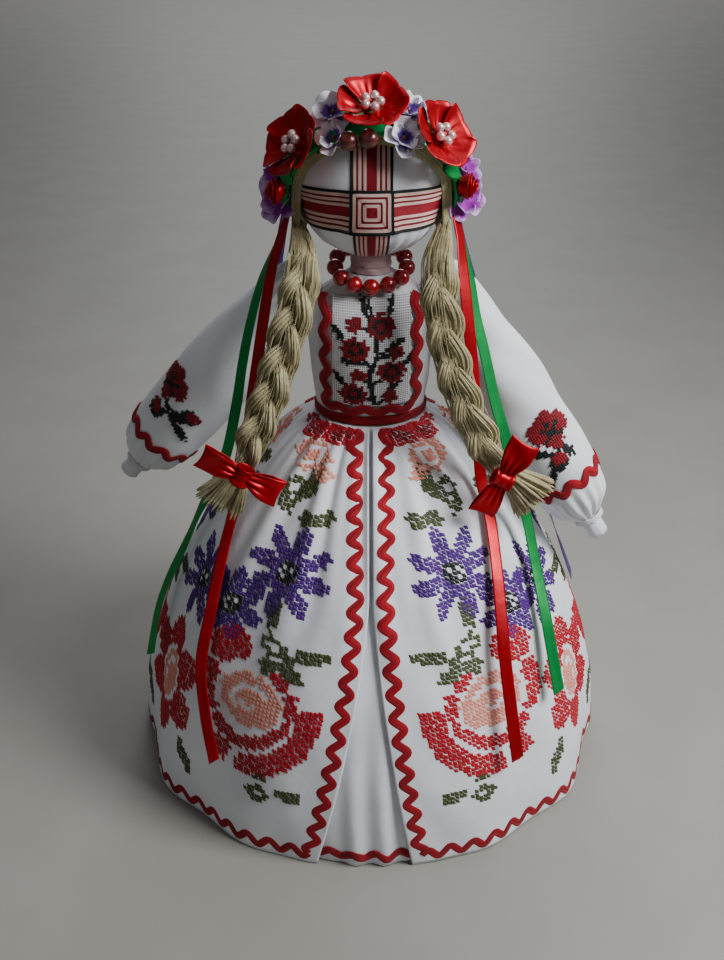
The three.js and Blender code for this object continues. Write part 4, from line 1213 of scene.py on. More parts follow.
@dataclass
class Skirts:
    """Card bell, underskirt and embroidered overskirt."""

    shape: SkirtShape = SkirtShape()
    braid: RickRack = RickRack()
    cell: float = 2.05
    rows: int = 90
    columns: int = 620
    edge_inset: float = 5.7
    edge_top: float = 189.0
    least_radius: float = 24.0
    over_trim_height: float = 6.3
    under_trim_height: float = 5.8

    def underskirt(self) -> None:
        """The plain white underskirt with soft folds where the overskirt leaves it free."""
        shape = self.shape

        def outer(share: Array, angle: Array) -> Array:
            """Outer points for a share of the height and an angle.

            Args:
                share: heights as shares of the skirt's.
                angle: angles from straight ahead.

            Returns:
                Rows of points.
            """
            free = ease(0.2, 0.05, off_front(angle)) * ease(0.62, 0.0, share)
            fold = 0.5 - 0.5 * np.cos(angle * 52 + 1.1 * np.sin(5 * share))
            radius = shape.bell(share) + shape.cloth + 0.15 + free * (0.5 + 2.1 * fold)
            return shape.at(radius, angle, shape.hem_lift + share * (shape.height - shape.hem_lift))

        builder = PieceBuilder("underskirt_cloth")
        fine = np.linspace(-pi, pi, 620, endpoint=False)
        share, angle = lattice(np.linspace(0, 1, 60), fine)
        builder.add_grid(outer(share, angle), around=True)
        cloth = builder.build([FINISH.white], "doll", "underskirt", "white_cloth", 0.35, -1.0)
        braid = PieceBuilder("underskirt_rick_rack")
        reach = TURN * shape.hem

        def hem(run: Array, offset: Array) -> Array:
            """Places along the underskirt's hem."""
            return outer((self.under_trim_height + offset * 0.6) / shape.height, run / shape.hem)

        self.braid.lay(braid, hem, reach, closed=True, lift=0.35)
        trim = braid.build([FINISH.rick_rack], "doll", "underskirt_trim", "red_trim")

    def overskirt(self) -> Thing:
        """The overskirt's cloth, open at the front.

        Returns:
            The new piece.
        """
        shape = self.shape
        share, across = lattice(np.linspace(0, 1, self.rows), np.linspace(0, 1, self.columns))
        builder = PieceBuilder("overskirt_cloth")
        builder.add_grid(shape.over_outer(share, across))
        return builder.build([FINISH.white], "doll", "overskirt", "white_cloth", 0.7, 1.0)

    def overskirt_braid(self) -> Thing:
        """Rick-rack on the front edges and the hem.

        Returns:
            The new piece.
        """
        shape, builder = self.shape, PieceBuilder("overskirt_rick_rack")
        heights, lengths = shape.slant()
        start = float(np.interp(self.over_trim_height, heights, lengths))
        stop = float(np.interp(self.edge_top, heights, lengths))
        for side in Side:
            def edge(run: Array, offset: Array, side: Side = side) -> Array:
                """Places along a front edge.

                Args:
                    run: lengths along the braid.
                    offset: offsets across it.
                    side: the side of the doll.

                Returns:
                    Rows of points.
                """
                height = np.interp(start + run, lengths, heights)
                share = height / shape.height
                angle = (self.edge_inset + offset) / np.maximum(shape.bell(share), self.least_radius)
                first, last = shape.edge_angles(share)
                return shape.over_place(first + angle if side is Side.RIGHT else last - angle, height)

            self.braid.lay(builder, edge, stop - start)
        first, last = shape.edge_angles(np.array(self.over_trim_height / shape.height))
        inset = self.edge_inset / shape.hem
        length = float(last - first - 2 * inset) * shape.hem

        def hem(run: Array, offset: Array) -> Array:
            """Places along the hem."""
            return shape.over_place(float(first) + inset + run / shape.hem, self.over_trim_height + offset)

        self.braid.lay(builder, hem, length)
        return builder.build([FINISH.rick_rack], "doll", "overskirt_trim", "red_trim")

    @staticmethod
    def motifs(cell: float) -> dict[str, Motif]:
        """The cross-stitch shapes, drawn for the doll's left; x runs away from the front.

        Args:
            cell: the size of a stitch.

        Returns:
            The motifs by name.
        """
        violet, red, salmon, olive, wine, black = Floss

        def petals(colour: Floss, count: int, out: float, long: float, wide: float,
                   first: float) -> tuple[Mark, ...]:
            """Pointed petals round a heart.

            Args:
                colour: their floss.
                count: how many.
                out: their middles' distance.
                long: half their length.
                wide: half their width.
                first: the first one's angle in degrees.

            Returns:
                A mark for each.
            """
            turns = [first + 360 / count * k for k in range(count)]
            return tuple(Mark(colour, out * cos(radians(t)), out * sin(radians(t)), long, wide,
                              spin=t, points=2, notch=0.86) for t in turns)

        def leafy(x: float, y: float, wide: float, high: float, spin: float) -> Mark:
            """A leaf with two points."""
            return Mark(olive, x, y, wide, high, spin, points=2, notch=0.8)

        heart = (Mark(black, 0, 0, 5.6, 5.6), Mark(None, 0, 0, 4.2, 4.2, 0, 0.55, start=-60, end=70),
                 Mark(None, 0, 0, 4.2, 4.2, 0, 0.55, start=110, end=170))
        star = (*petals(violet, 8, 13.2, 9.6, 4.7, 12), *heart)
        rosette = (*petals(violet, 7, 10.5, 8.4, 5.2, 38), Mark(violet, 0, 0, 8, 8), *heart)
        rose = (Mark(red, 0, -1, 38, 35, -12, 0.69, start=-178, end=-44), Mark(None, 6, -34, 3, 9, 20),
            Mark(red, 21.5, 1, 8.5, 13, -8), Mark(red, 15, 23.5, 12, 9.5, -25),
            Mark(None, 12, 15.5, 9, 1.6, -35), Mark(red, 0, 0, 26, 22.5, -28, 0.72, start=-180, end=-10),
            Mark(None, 0, 1, 20.5, 15.5), Mark(salmon, -1, 2, 17.5, 13),
            Mark(None, -2, 1, 12, 9, 0, 0.72, start=-40, end=150),
            Mark(None, -1, 2, 6, 5, 0, 0.5, start=-170, end=-20), Mark(red, -15, 15, 6, 3.2, 35))
        far_rose = (*petals(red, 6, 19.5, 11.5, 10.8, 25), Mark(None, 0, 0, 12.5, 15),
                    Mark(salmon, 0, 0, 10, 12.6), Mark(None, 0, 0, 6.5, 9, 0, 0.66, start=-60, end=120))
        trio = (leafy(-10, 4.5, 9, 3.9, -4), Mark(olive, 8, 5.5, 8, 4.2, 14),
                Mark(olive, -2, -5, 7.5, 3.9, 28), Mark(olive, 9, -4, 6.5, 3.7, -26), Mark(olive, 0, 1, 4, 3),
                Mark(None, 8, 5.5, 4, 1.2, 14))
        sprig = (Mark(olive, -8, 0, 6.2, 3.4, 8), Mark(olive, 8, -2.5, 6, 4.4, 12),
                 Mark(olive, 7.5, 7, 4.5, 1.4), Mark(None, 7, -2.5, 2.6, 1.2))
        leaf = (leafy(0, 0, 10.5, 4.6, 62),)
        small_leaf = (Mark(olive, 0, 0, 3.2, 7, 8),)
        tall_leaves = (leafy(3, 2, 4.8, 11.5, -6), Mark(olive, -4, 6, 3.4, 7, 28),
                       Mark(None, 3, 3, 1.3, 5))
        flat_leaf = (leafy(0, 0, 9.5, 4.9, -14),)
        pink = (Mark(salmon, 0, 0, 10, 8), Mark(None, 0, 0, 6, 5, inner=0.6), Mark(salmon, -9, -7, 6, 4, 40))
        waist = (Mark(red, 0, 0, 8, 5.5), Mark(wine, 0, 0, 4, 2.5), Mark(red, 9, 3, 4, 3))
        return {name: Motif(marks, cell) for name, marks in (
            ("star", star), ("rosette", rosette), ("rose", rose), ("far_rose", far_rose), ("trio", trio),
            ("sprig", sprig), ("leaf", leaf), ("small_leaf", small_leaf), ("tall_leaves", tall_leaves),
            ("flat_leaf", flat_leaf), ("pink", pink), ("waist", waist))}

    def embroidery(self) -> Thing:
        """Cross stitch all round the overskirt, mirrored about the front.

        Returns:
            The new piece.
        """
        shape = self.shape
        heights, lengths = shape.slant()
        motifs = self.motifs(self.cell)
        places = (("star", 29, 136), ("rosette", 45.5, 116), ("star", 63, 115), ("star", 96, 136),
            ("rosette", 113, 116), ("star", 131, 115), ("star", 164, 136), ("small_leaf", 29.5, 118.5),
            ("trio", 22.5, 101), ("rose", 32.5, 77), ("far_rose", 64, 62), ("rose", 99, 77),
            ("far_rose", 131, 62), ("rose", 162.5, 77), ("leaf", 50.5, 31), ("sprig", 23, 37),
            ("trio", 86, 103), ("trio", 150, 103), ("leaf", 117, 31), ("leaf", 79, 31), ("sprig", 89, 36),
            ("sprig", 148, 36), ("leaf", 170, 33), ("tall_leaves", 37, 163), ("flat_leaf", 23.5, 158),
            ("small_leaf", 31, 171), ("pink", 40, 179), ("waist", 52, 186.5), ("waist", 26, 187),
            ("tall_leaves", 82, 163), ("flat_leaf", 66, 160), ("pink", 100, 179), ("waist", 124, 186.5),
            ("tall_leaves", 140, 163), ("flat_leaf", 118, 160), ("pink", 156, 178))
        anchor = [0.0, 0.0]

        def cloth(over: Array, up: Array) -> Array:
            """Places round a motif's own middle, in lengths along the cloth.

            Args:
                over: lengths round the skirt.
                up: lengths up the cloth.

            Returns:
                Rows of points.
            """
            middle = float(np.interp(anchor[1], heights, lengths))
            height = np.interp(middle + up, lengths, heights)
            radius = np.maximum(shape.bell(height / shape.height), self.least_radius)
            return shape.over_place(anchor[0] + over / radius, height)

        piece = StitchedPiece(self.cell, cloth)
        sewn = PieceBuilder("skirt_stitches")
        for name, angle, height in places:
            for side in Side:
                anchor[:] = side.value * radians(angle), float(height)
                piece.places = []
                piece.sew(motifs[name], 0.0, 0.0, float(side.value))
                piece.gather(sewn)
        return sewn.build(FINISH.stitches, "doll", slot="thread")

    def build(self) -> None:
        """All of the skirts."""
        self.underskirt()
        cloth, braid, stitches = self.overskirt(), self.overskirt_braid(), self.embroidery()
        for node in ("skirt_cone", "base_disc"):
            dress_node(node, FINISH.card)


def dress_node(node: str, material: Material) -> None:
    """Gives a carried-over CAD node its detailed finish.

    Args:
        node: the node's name.
        material: the finish.
    """
    for slot in bpy.data.objects[node].material_slots:
        slot.material = material
    LOG.info("%s: dressed", node)


# Blouse and body


@dataclass(frozen=True)
class TorsoShape:
    """Oval levels of the stuffed torso, in millimetres."""

    heights: tuple[float, ...] = (190.3, 205, 222, 236, 245, 251.5, 256, 260)
    wide: tuple[float, ...] = (26.5, 28.5, 30, 31, 30, 25.5, 17.5, 11)
    deep: tuple[float, ...] = (22.5, 26, 27.5, 26, 21.5, 15.5, 12.5, 10.3)

    def halves(self, height: Array) -> tuple[Array, Array]:
        """Half width and half depth at a height.

        Args:
            height: heights.

        Returns:
            Half widths and half depths.
        """
        spread = (-1.5, 0.0, 1.5)
        wide = sum(np.interp(height + d, self.heights, self.wide) for d in spread) / 3
        deep = sum(np.interp(height + d, self.heights, self.deep) for d in spread) / 3
        return wide, deep

    def front(self, x: Array, height: Array, lift: float = 0.0) -> Array:
        """Points on the front at a sideways place and a height.

        Args:
            x: sideways places.
            height: heights.
            lift: height over the surface.

        Returns:
            Rows of points.
        """
        wide, deep = self.halves(height)
        sine = np.clip(x / wide, -0.98, 0.98)
        cosine = np.sqrt(1 - sine**2)
        slope = (self.halves(height - 1)[1] - self.halves(height + 1)[1]) / 2
        outward = unit(spots(sine / wide, -cosine / deep, slope * cosine / deep))
        return spots(x + 0 * height, -deep * cosine, height + 0 * x) + outward * lift

    def around(self, angle: Array, height: Array, lift: Array = 0.0) -> Array:
        """Points at an angle from straight ahead and a height."""
        wide, deep = self.halves(height)
        return spots((wide + lift) * np.sin(angle), -(deep + lift) * np.cos(angle), height + 0 * angle)


@dataclass
class Blouse:
    """Rolled core, stuffed torso, counted-cloth panel and its rick-rack."""

    shape: TorsoShape = TorsoShape()
    braid: RickRack = RickRack(width=4.8, swing=1.25, pitch=12.0)
    panel_half: float = 18.0
    panel_low: float = 202.0
    panel_high: float = 252.0
    branch_middle: float = 226.0
    panel_lift: float = 1.2
    trim_half: float = 20.8
    trim_low: float = 199.2
    trim_corner: float = 4.0
    cell: float = 0.98
    waist_height: float = 192.8
    armhole: float = 6.8

    def core(self) -> None:
        """The roll of cloth that carries the head."""
        low, high = (np.array(corner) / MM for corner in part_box("body_core"))
        turns = np.linspace(0, 6, 6 * 28)
        radius = 1.2 + (high[0] - 0.4 - 1.2) * turns / 6
        x, y = radius * np.cos(turns * TURN), radius * np.sin(turns * TURN)
        grid = np.stack([spots(x, y, 0 * x + z) for z in np.linspace(low[2], high[2], 12)])
        roll = PieceBuilder("core_roll").add_grid(grid).build(
            [FINISH.white], "doll", "body_core", "white_cloth", 0.35, 0.0)

    def torso(self) -> None:
        """The stuffed torso with soft dents and gathers at neck and waist."""
        height, angle = lattice(np.linspace(190.6, 259.9, 70), circle(160))
        near_waist, near_neck = ease(203, 191, height), ease(246, 259, height)
        dent = (-0.5 * (0.5 + 0.5 * np.cos(26 * angle)) * near_waist
                - 0.45 * (0.5 + 0.5 * np.cos(20 * angle)) * near_neck)
        dent = dent - 0.25 * (0.5 + 0.5 * np.sin(5 * angle + height / 7) * np.sin(height / 5 + 2 * angle))
        grid = self.shape.around(angle, height, dent)
        collar = [grid[-1] * np.array([k, k, 1]) + np.array([0, 0, 0.15]) for k in (0.93, 0.86, 0.82)]
        grid = np.concatenate([grid, np.stack(collar)])
        builder = PieceBuilder("torso_cloth")
        builder.add_grid(grid, around=True)
        for side in Side:
            builder.keep(lambda middles, arm=ArmShape(side): arm.clear(middles, self.armhole + 1.2))
        cloth = builder.build([FINISH.white], "doll", "torso", "white_cloth", 0.5, -1.0)

    def waist(self) -> None:
        """A woven tie round the waist."""
        angle = circle(220)
        sway = 0.25 * np.sin(9 * angle)
        path = self.shape.around(angle, self.waist_height + sway, 0.65)
        outward = self.shape.around(angle, self.waist_height + sway, 1.65) - path
        builder = PieceBuilder("waist_band")
        builder.add_tube(path, 2.35, sides=12, flat=0.22, closed=True, bend=outward)
        builder.build([FINISH.rick_rack], "doll", "waist_tie", "red_trim")

    def panel(self) -> None:
        """The counted-cloth panel with its stitched branch, and the U of rick-rack round it."""
        shape = self.shape
        height, x = lattice(np.linspace(self.panel_low, self.panel_high, 54),
                            np.linspace(-self.panel_half, self.panel_half, 40))
        builder = PieceBuilder("chest_cloth")
        builder.add_grid(shape.front(x, height, self.panel_lift), spots(x, height))
        cloth = builder.build([FINISH.counted], "doll", "chest_panel", "counted_cloth", 0.6, -1.0)
        stitches = self.branch()
        trim = PieceBuilder("chest_rick_rack")
        corner = self.trim_corner
        arc = corner * pi / 2
        down, over = self.panel_high - 0.5 - self.trim_low - corner, 2 * (self.trim_half - corner)
        marks = np.cumsum([0, down, arc, over, arc, down])

        def outline(run: Array, offset: Array) -> Array:
            """Places along the U.

            Args:
                run: lengths along the braid.
                offset: offsets across it.

            Returns:
                Rows of points.
            """
            bend = np.clip(run - marks[1], 0, arc) / corner + np.clip(run - marks[3], 0, arc) / corner
            first = np.clip(run - marks[1], 0, arc) / corner
            second = np.clip(run - marks[3], 0, arc) / corner
            x = (-self.trim_half + corner * (1 - np.cos(first)) + np.clip(run - marks[2], 0, over)
                 + corner * np.sin(second))
            z = (self.panel_high - 0.5 - np.clip(run, 0, down) - corner * np.sin(first)
                 + corner * (1 - np.cos(second)) + np.clip(run - marks[4], 0, None))
            return shape.front(x - offset * 0.92 * np.cos(bend), z - offset * 0.92 * np.sin(bend))

        self.braid.lay(trim, outline, float(marks[-1]), lift=1.45)
        braid = trim.build([FINISH.rick_rack], "doll", "chest_trim", "red_trim")

    def branch(self) -> Thing:
        """The stitched branch: a stem with flowers, buds and leaves.

        Returns:
            The new piece.
        """
        wine, black, middle = Floss.WINE, Floss.BLACK, self.branch_middle
        flowers = ((4.4, 240.3), (-7.1, 230.5), (9.3, 219.7), (-7.7, 208.2))
        buds = ((-7.4, 241), (11.8, 229), (-5.7, 218.2), (8.7, 207.1))
        leaves = ((-14.9, 237.7, 130), (-9.1, 224.9, 175), (11, 232.6, 35), (17, 224.9, 45),
                  (-14.4, 215.6, 130), (10.4, 212.5, 45), (8.7, 248, 80), (-2.8, 248, 115))
        stem = curve([(2.1, 203.3, 0), (-0.5, 218, 0), (2.9, 229.5, 0), (-1, 250, 0)], 49)[:, :2]
        marks = [Mark(black, x, z - middle, 1.05, 0.8) for x, z in stem]
        for x, z in (*flowers, *buds):
            near = stem[np.argmin(np.hypot(*(stem - (x, z - 5)).T))]
            marks += [Mark(black, px, pz - middle, 0.75, 0.75) for px, pz in np.linspace(near, (x, z), 16)]
        for x, z, turn in leaves:
            way = np.array([cos(radians(turn)), sin(radians(turn))])
            marks += [Mark(black, px, pz - middle, 0.75, 0.75)
                      for px, pz in np.linspace(np.array((x, z)) - 7 * way, (x, z), 14)]
            marks += [Mark(black, x, z - middle, 4.3, 1.9, spin=turn, points=2, notch=0.75)]
        for x, z in flowers:
            marks += [Mark(wine, x, z - middle, 6.5, 5.9, points=8, notch=0.84),
                      Mark(black, x, z - middle, 3.3, 3.1, inner=0.55),
                      Mark(None, x, z - middle, 5.6, 5.0, inner=0.86, start=60, end=85),
                      Mark(None, x, z - middle, 5.6, 5.0, inner=0.86, start=-140, end=-115)]
        marks += [Mark(wine, x, z - middle, 3.3, 2.9) for x, z in buds]
        marks += [Mark(black, x + 0.5, z - middle - 0.5, 0.8, 0.8) for x, z in buds]
        sewn = PieceBuilder("chest_stitches")
        piece = StitchedPiece(self.cell, lambda x, z: self.shape.front(x, z + middle, self.panel_lift),
                              lift=0.05)
        piece.sew(Motif(tuple(marks), self.cell), 0, 0)
        piece.gather(sewn)
        return sewn.build(FINISH.stitches, "doll", slot="thread")

    def build(self) -> None:
        """All of the body."""
        self.core()
        self.torso()
        self.waist()
        self.panel()


@dataclass(frozen=True)
class ArmShape:
    """One arm's axis and the sleeve's profile: radius and length along the arm."""

    side: Side
    profile: tuple[tuple[float, float], ...] = (
        (0.4, -12.9), (9.75, -8.58), (13, 0), (16.6, 26), (20, 56), (20, 80), (19.6, 100), (18.5, 115.5),
        (16.2, 127), (10.5, 134), (7.4, 137))

    @property
    def root(self) -> Array:
        """Where the axis starts in the shoulder."""
        return np.array([36.0 * self.side.value, 0, 252])

    @property
    def along(self) -> Array:
        """Unit direction of the arm."""
        return unit(np.array((-70, 20, -83.5) if self.side is Side.LEFT else (62, -15, -95), float))

    def clear(self, places: Array, reach: float) -> Array:
        """Which places are farther than a reach from the axis, or on the doll's other side.

        Args:
            places: rows of points.
            reach: the distance.

        Returns:
            True for the places that are.
        """
        from_root = places - self.root
        off_axis = from_root - (from_root @ self.along)[:, None] * self.along
        return (np.linalg.norm(off_axis, axis=1) > reach) | (from_root[:, 0] * self.side.value < -22)

    @property
    def front(self) -> Array:
        """Straight ahead, made square to the arm."""
        ahead = np.array([0, -1.0, 0])
        return unit(ahead - self.along * (ahead @ self.along))

    def at(self, radius: Array, angle: Array, along: Array) -> Array:
        """Points at a radius, an angle from the front and a length along the arm.

        Args:
            radius: distances from the axis.
            angle: angles from the front.
            along: lengths along the arm.

        Returns:
            Rows of points.
        """
        sideways = np.cross(self.along, self.front)
        return (self.root + along[..., None] * self.along + (radius * np.cos(angle))[..., None] * self.front
                + (radius * np.sin(angle))[..., None] * sideways)

    def radius(self, along: Array) -> Array:
        """Radius of the sleeve at a length along the arm.

        Args:
            along: lengths along the arm.

        Returns:
            Radii.
        """
        smooth = curve([(r, s, 0) for r, s in self.profile], 240)
        order = np.maximum.accumulate(smooth[:, 1])
        return np.interp(along, order, smooth[:, 0])

    def sleeve(self, angle: Array, along: Array) -> Array:
        """Outer points of the sleeve's cloth with its gathers and soft folds.

        Args:
            angle: angles from the front.
            along: lengths along the arm.

        Returns:
            Rows of points.
        """
        phase = self.side.value * 0.7
        cuff = ease(106, 128, along)
        pleat = 0.5 + 0.5 * np.cos(15 * angle + 1.3 * np.sin(2 * angle + phase) + along / 21)
        top = ease(24, -4, along)
        crease = 0.5 + 0.5 * np.sin(2 * angle + along / 19 + phase) * np.sin(along / 13 + 2 * angle - phase)
        slack = ease(-6, 20, along) * ease(118, 96, along)
        depth = 1.5 * pleat * cuff + 0.55 * (0.5 + 0.5 * np.cos(19 * angle)) * top + 1.5 * slack * crease**2
        return self.at(self.radius(along) - depth * ease(-12.9, -6, along), angle, along)


@dataclass
class Arms:
    """Sleeves on arm rolls, tied at the wrists."""

    braid: RickRack = RickRack()
    cell: float = 1.25
    cuff: float = 113.0
    cuff_radius: float = 19.2
    roll_radius: float = 6.1
    roll_start: float = 12.5
    roll_end: float = 149.6
    tie: float = 138.8

    def sleeve(self, shape: ArmShape, body: str) -> None:
        """A sleeve with its stitches and its rick-rack.

        Args:
            shape: the arm's axis and profile.
            body: the body that it rides on.
        """
        word, axis = shape.side.word, (shape.root, shape.along)
        run = np.concatenate([np.linspace(-12.9, -4, 10), np.linspace(-2.5, 105, 60),
                              np.linspace(106.5, 137, 34)])
        along, angle = lattice(run, circle(120))
        cloth = PieceBuilder(f"sleeve_cloth_{word}").add_grid(shape.sleeve(angle, along), around=True).build(
            [FINISH.white], body, f"sleeve_{word}", "white_cloth", 0.5, -1.0)
        trim = PieceBuilder(f"cuff_rick_rack_{word}")

        def ring(run: Array, offset: Array) -> Array:
            """Places round the sleeve above its gathers."""
            return shape.sleeve(run / self.cuff_radius, self.cuff + 0.9 * offset)

        self.braid.lay(trim, ring, TURN * self.cuff_radius, closed=True, axis=axis)
        braid = trim.build([FINISH.rick_rack], body, f"cuff_trim_{word}", "red_trim")
        sewn = PieceBuilder(f"sleeve_stitches_{word}")
        middle = [0.0, 0.0]

        def flat(over: Array, up: Array) -> Array:
            """Places round a motif's middle on the sleeve."""
            reach = shape.radius(np.asarray(middle[1] - up))
            return shape.sleeve(middle[0] + over / reach, middle[1] - up)

        piece = StitchedPiece(self.cell, flat, axis, lift=0.2)
        for motif, along_arm, degrees in self.flowers(shape.side):
            middle[:] = radians(degrees), float(along_arm)
            piece.places = []
            piece.sew(motif, 0, 0)
            piece.gather(sewn)
        stitches = sewn.build(FINISH.stitches, body, slot="thread")

    def flowers(self, side: Side) -> list[tuple[Motif, float, float]]:
        """The stitched branches of a sleeve, with their length along the arm and angle from the front.

        Args:
            side: the side of the doll.

        Returns:
            For each branch, its motif, length and angle.
        """
        wine, black = Floss.WINE, Floss.BLACK

        def rose(x: float, y: float) -> list[Mark]:
            """An open rose with black between its petals.

            Args:
                x: sideways places.
                y: upward places.

            Returns:
                Its marks.
            """
            return [
                Mark(black, x, y - 1.5, 8.6, 8.0, points=6, notch=0.86),
                Mark(wine, x - 7, y + 0.4, 4.4, 5.4, spin=-15), Mark(wine, x + 7, y + 0.4, 4.4, 5.4, spin=15),
                Mark(wine, x, y - 7.8, 4.4, 3.4), Mark(wine, x, y + 3.4, 5.9, 5.6),
                Mark(black, x, y + 2.8, 5.3, 5.3, inner=0.66, start=-165, end=-15),
                Mark(black, x, y + 2.4, 2.0, 1.6)]

        def bud(x: float, y: float, way: float) -> list[Mark]:
            """A bud in its black cup."""
            tip = (x + 1.9 * cos(radians(way)), y + 1.9 * sin(radians(way)))
            return [Mark(black, x, y, 4.9, 4.3), Mark(wine, *tip, 3.7, 3.1)]

        def twig(*route: tuple[float, float]) -> list[Mark]:
            """A black stem through some places."""
            points = curve([(x, y, 0) for x, y in route], 40)
            return [Mark(black, x, y, 1.0, 1.0) for x, y, _ in points]

        def leaf(x: float, y: float, spin: float) -> list[Mark]:
            """A black leaf."""
            return [Mark(black, x, y, 5.4, 2.5, spin=spin, points=2, notch=0.8)]

        if side is Side.LEFT:
            branch = (*twig((-1, -8), (-9, -13), (-18, -18)), *twig((-8, -12), (-19, -9)),
                      *twig((-10, -14), (-3, -18)), *leaf(-21, -19, 30), *leaf(-15, -13, -20), *rose(0, 0),
                      *bud(-2.4, -19, 60), *bud(-19.5, -8, 160))
            return [(Motif(branch, self.cell), 76, 52), (Motif(branch, self.cell), 76, 215)]
        branch = (*twig((0, -8), (3, -14), (10, -22)), *twig((3, -13), (12, -9)), *leaf(12, -24, -50),
            *leaf(11, -9, 20), *leaf(-3, -14, 60), *rose(0, 0), *bud(4.2, -17.5, 120))
        return [(Motif(branch, self.cell), 81, -24), (Motif(branch, self.cell), 81, 150)]

    def roll(self, shape: ArmShape, body: str) -> None:
        """The rolled cloth of the arm, which ends in the hand, and the tie round the wrist.

        Args:
            shape: the arm's axis and profile.
            body: the body that it rides on.
        """
        word = shape.side.word
        turn = np.linspace(0, 4.5, 4 * 34)
        run = np.linspace(self.roll_start, self.roll_end, 60)
        along, turns = lattice(run, turn)
        radius = 1.0 + (self.roll_radius - 1.35) * turns / 4.5
        pinch = 1 - 0.14 * np.exp(-((along - self.tie) / 3.2) ** 2)
        crumple = 1 - 0.05 * (0.5 + 0.5 * np.cos(9 * turns * TURN / 1.0)) * ease(128, 146, along)
        builder = PieceBuilder(f"arm_roll_{word}")
        builder.add_grid(shape.at(radius * pinch * crumple, turns * TURN, along))
        cloth = builder.build([FINISH.white], body, f"arm_{word}", "white_cloth", 0.32, 0.0)
        thread = np.linspace(0, 5, 5 * 30)
        path = shape.at(np.full_like(thread, 7.35), thread * TURN, self.tie - 1.15 + thread * 0.46)
        tie = PieceBuilder(f"wrist_thread_{word}")
        tie.add_tube(path, 0.42, sides=8)
        tie.build([FINISH.white_thread], body, f"wrist_tie_{word}", "thread")

    def build(self) -> None:
        """Both arms."""
        for side in Side:
            body = f"{side.word}_arm"
            self.roll(ArmShape(side), body)
            self.sleeve(ArmShape(side), body)


# Head


@dataclass(frozen=True)
class HeadShape:
    """The egg-shaped head, in millimetres."""

    half: Spot = (33.0, 31.0, 29.5)
    centre: Spot = (0.0, -2.0, 303.0)
    chin: float = 4.2

    def on(self, direction: Array, lift: Array = 0.0) -> Array:
        """Points on the head in a direction from its middle, lifted off it.

        Args:
            direction: rows of directions.
            lift: height over the head.

        Returns:
            Rows of points.
        """
        half = np.array(self.half)
        reach = 1 / np.linalg.norm(direction / half, axis=-1, keepdims=True)
        place = direction * reach
        outward = unit(place / half**2)
        low = ease(0.2, 0.85, -place[..., 2] / half[2]) * ease(0.5, -0.35, place[..., 1] / half[1])
        return place + outward * (np.asarray(lift, float) + self.chin * low)[..., None] + np.array(self.centre)

    def outward(self, direction: Array) -> Array:
        """Unit normals of the head in a direction from its middle."""
        return unit(direction / np.array(self.half) ** 2)

    def face(self, x: Array, z: Array, lift: Array = 0.0) -> Array:
        """Points on the face at a sideways place and a height.

        Args:
            x: sideways places.
            z: heights.
            lift: height over the face.

        Returns:
            Rows of points.
        """
        right, up = x / self.half[0], (z - self.centre[2]) / self.half[2]
        ahead = -np.sqrt(np.maximum(1 - right**2 - up**2, 0.01))
        return self.on(spots(right, ahead, up) * np.array(self.half), lift)


class Stripe(Enum):
    """Thread colours of the face cross, in the order of its finishes."""

    CREAM = 0
    RED = 1
    DARK = 2
    BLACK = 3


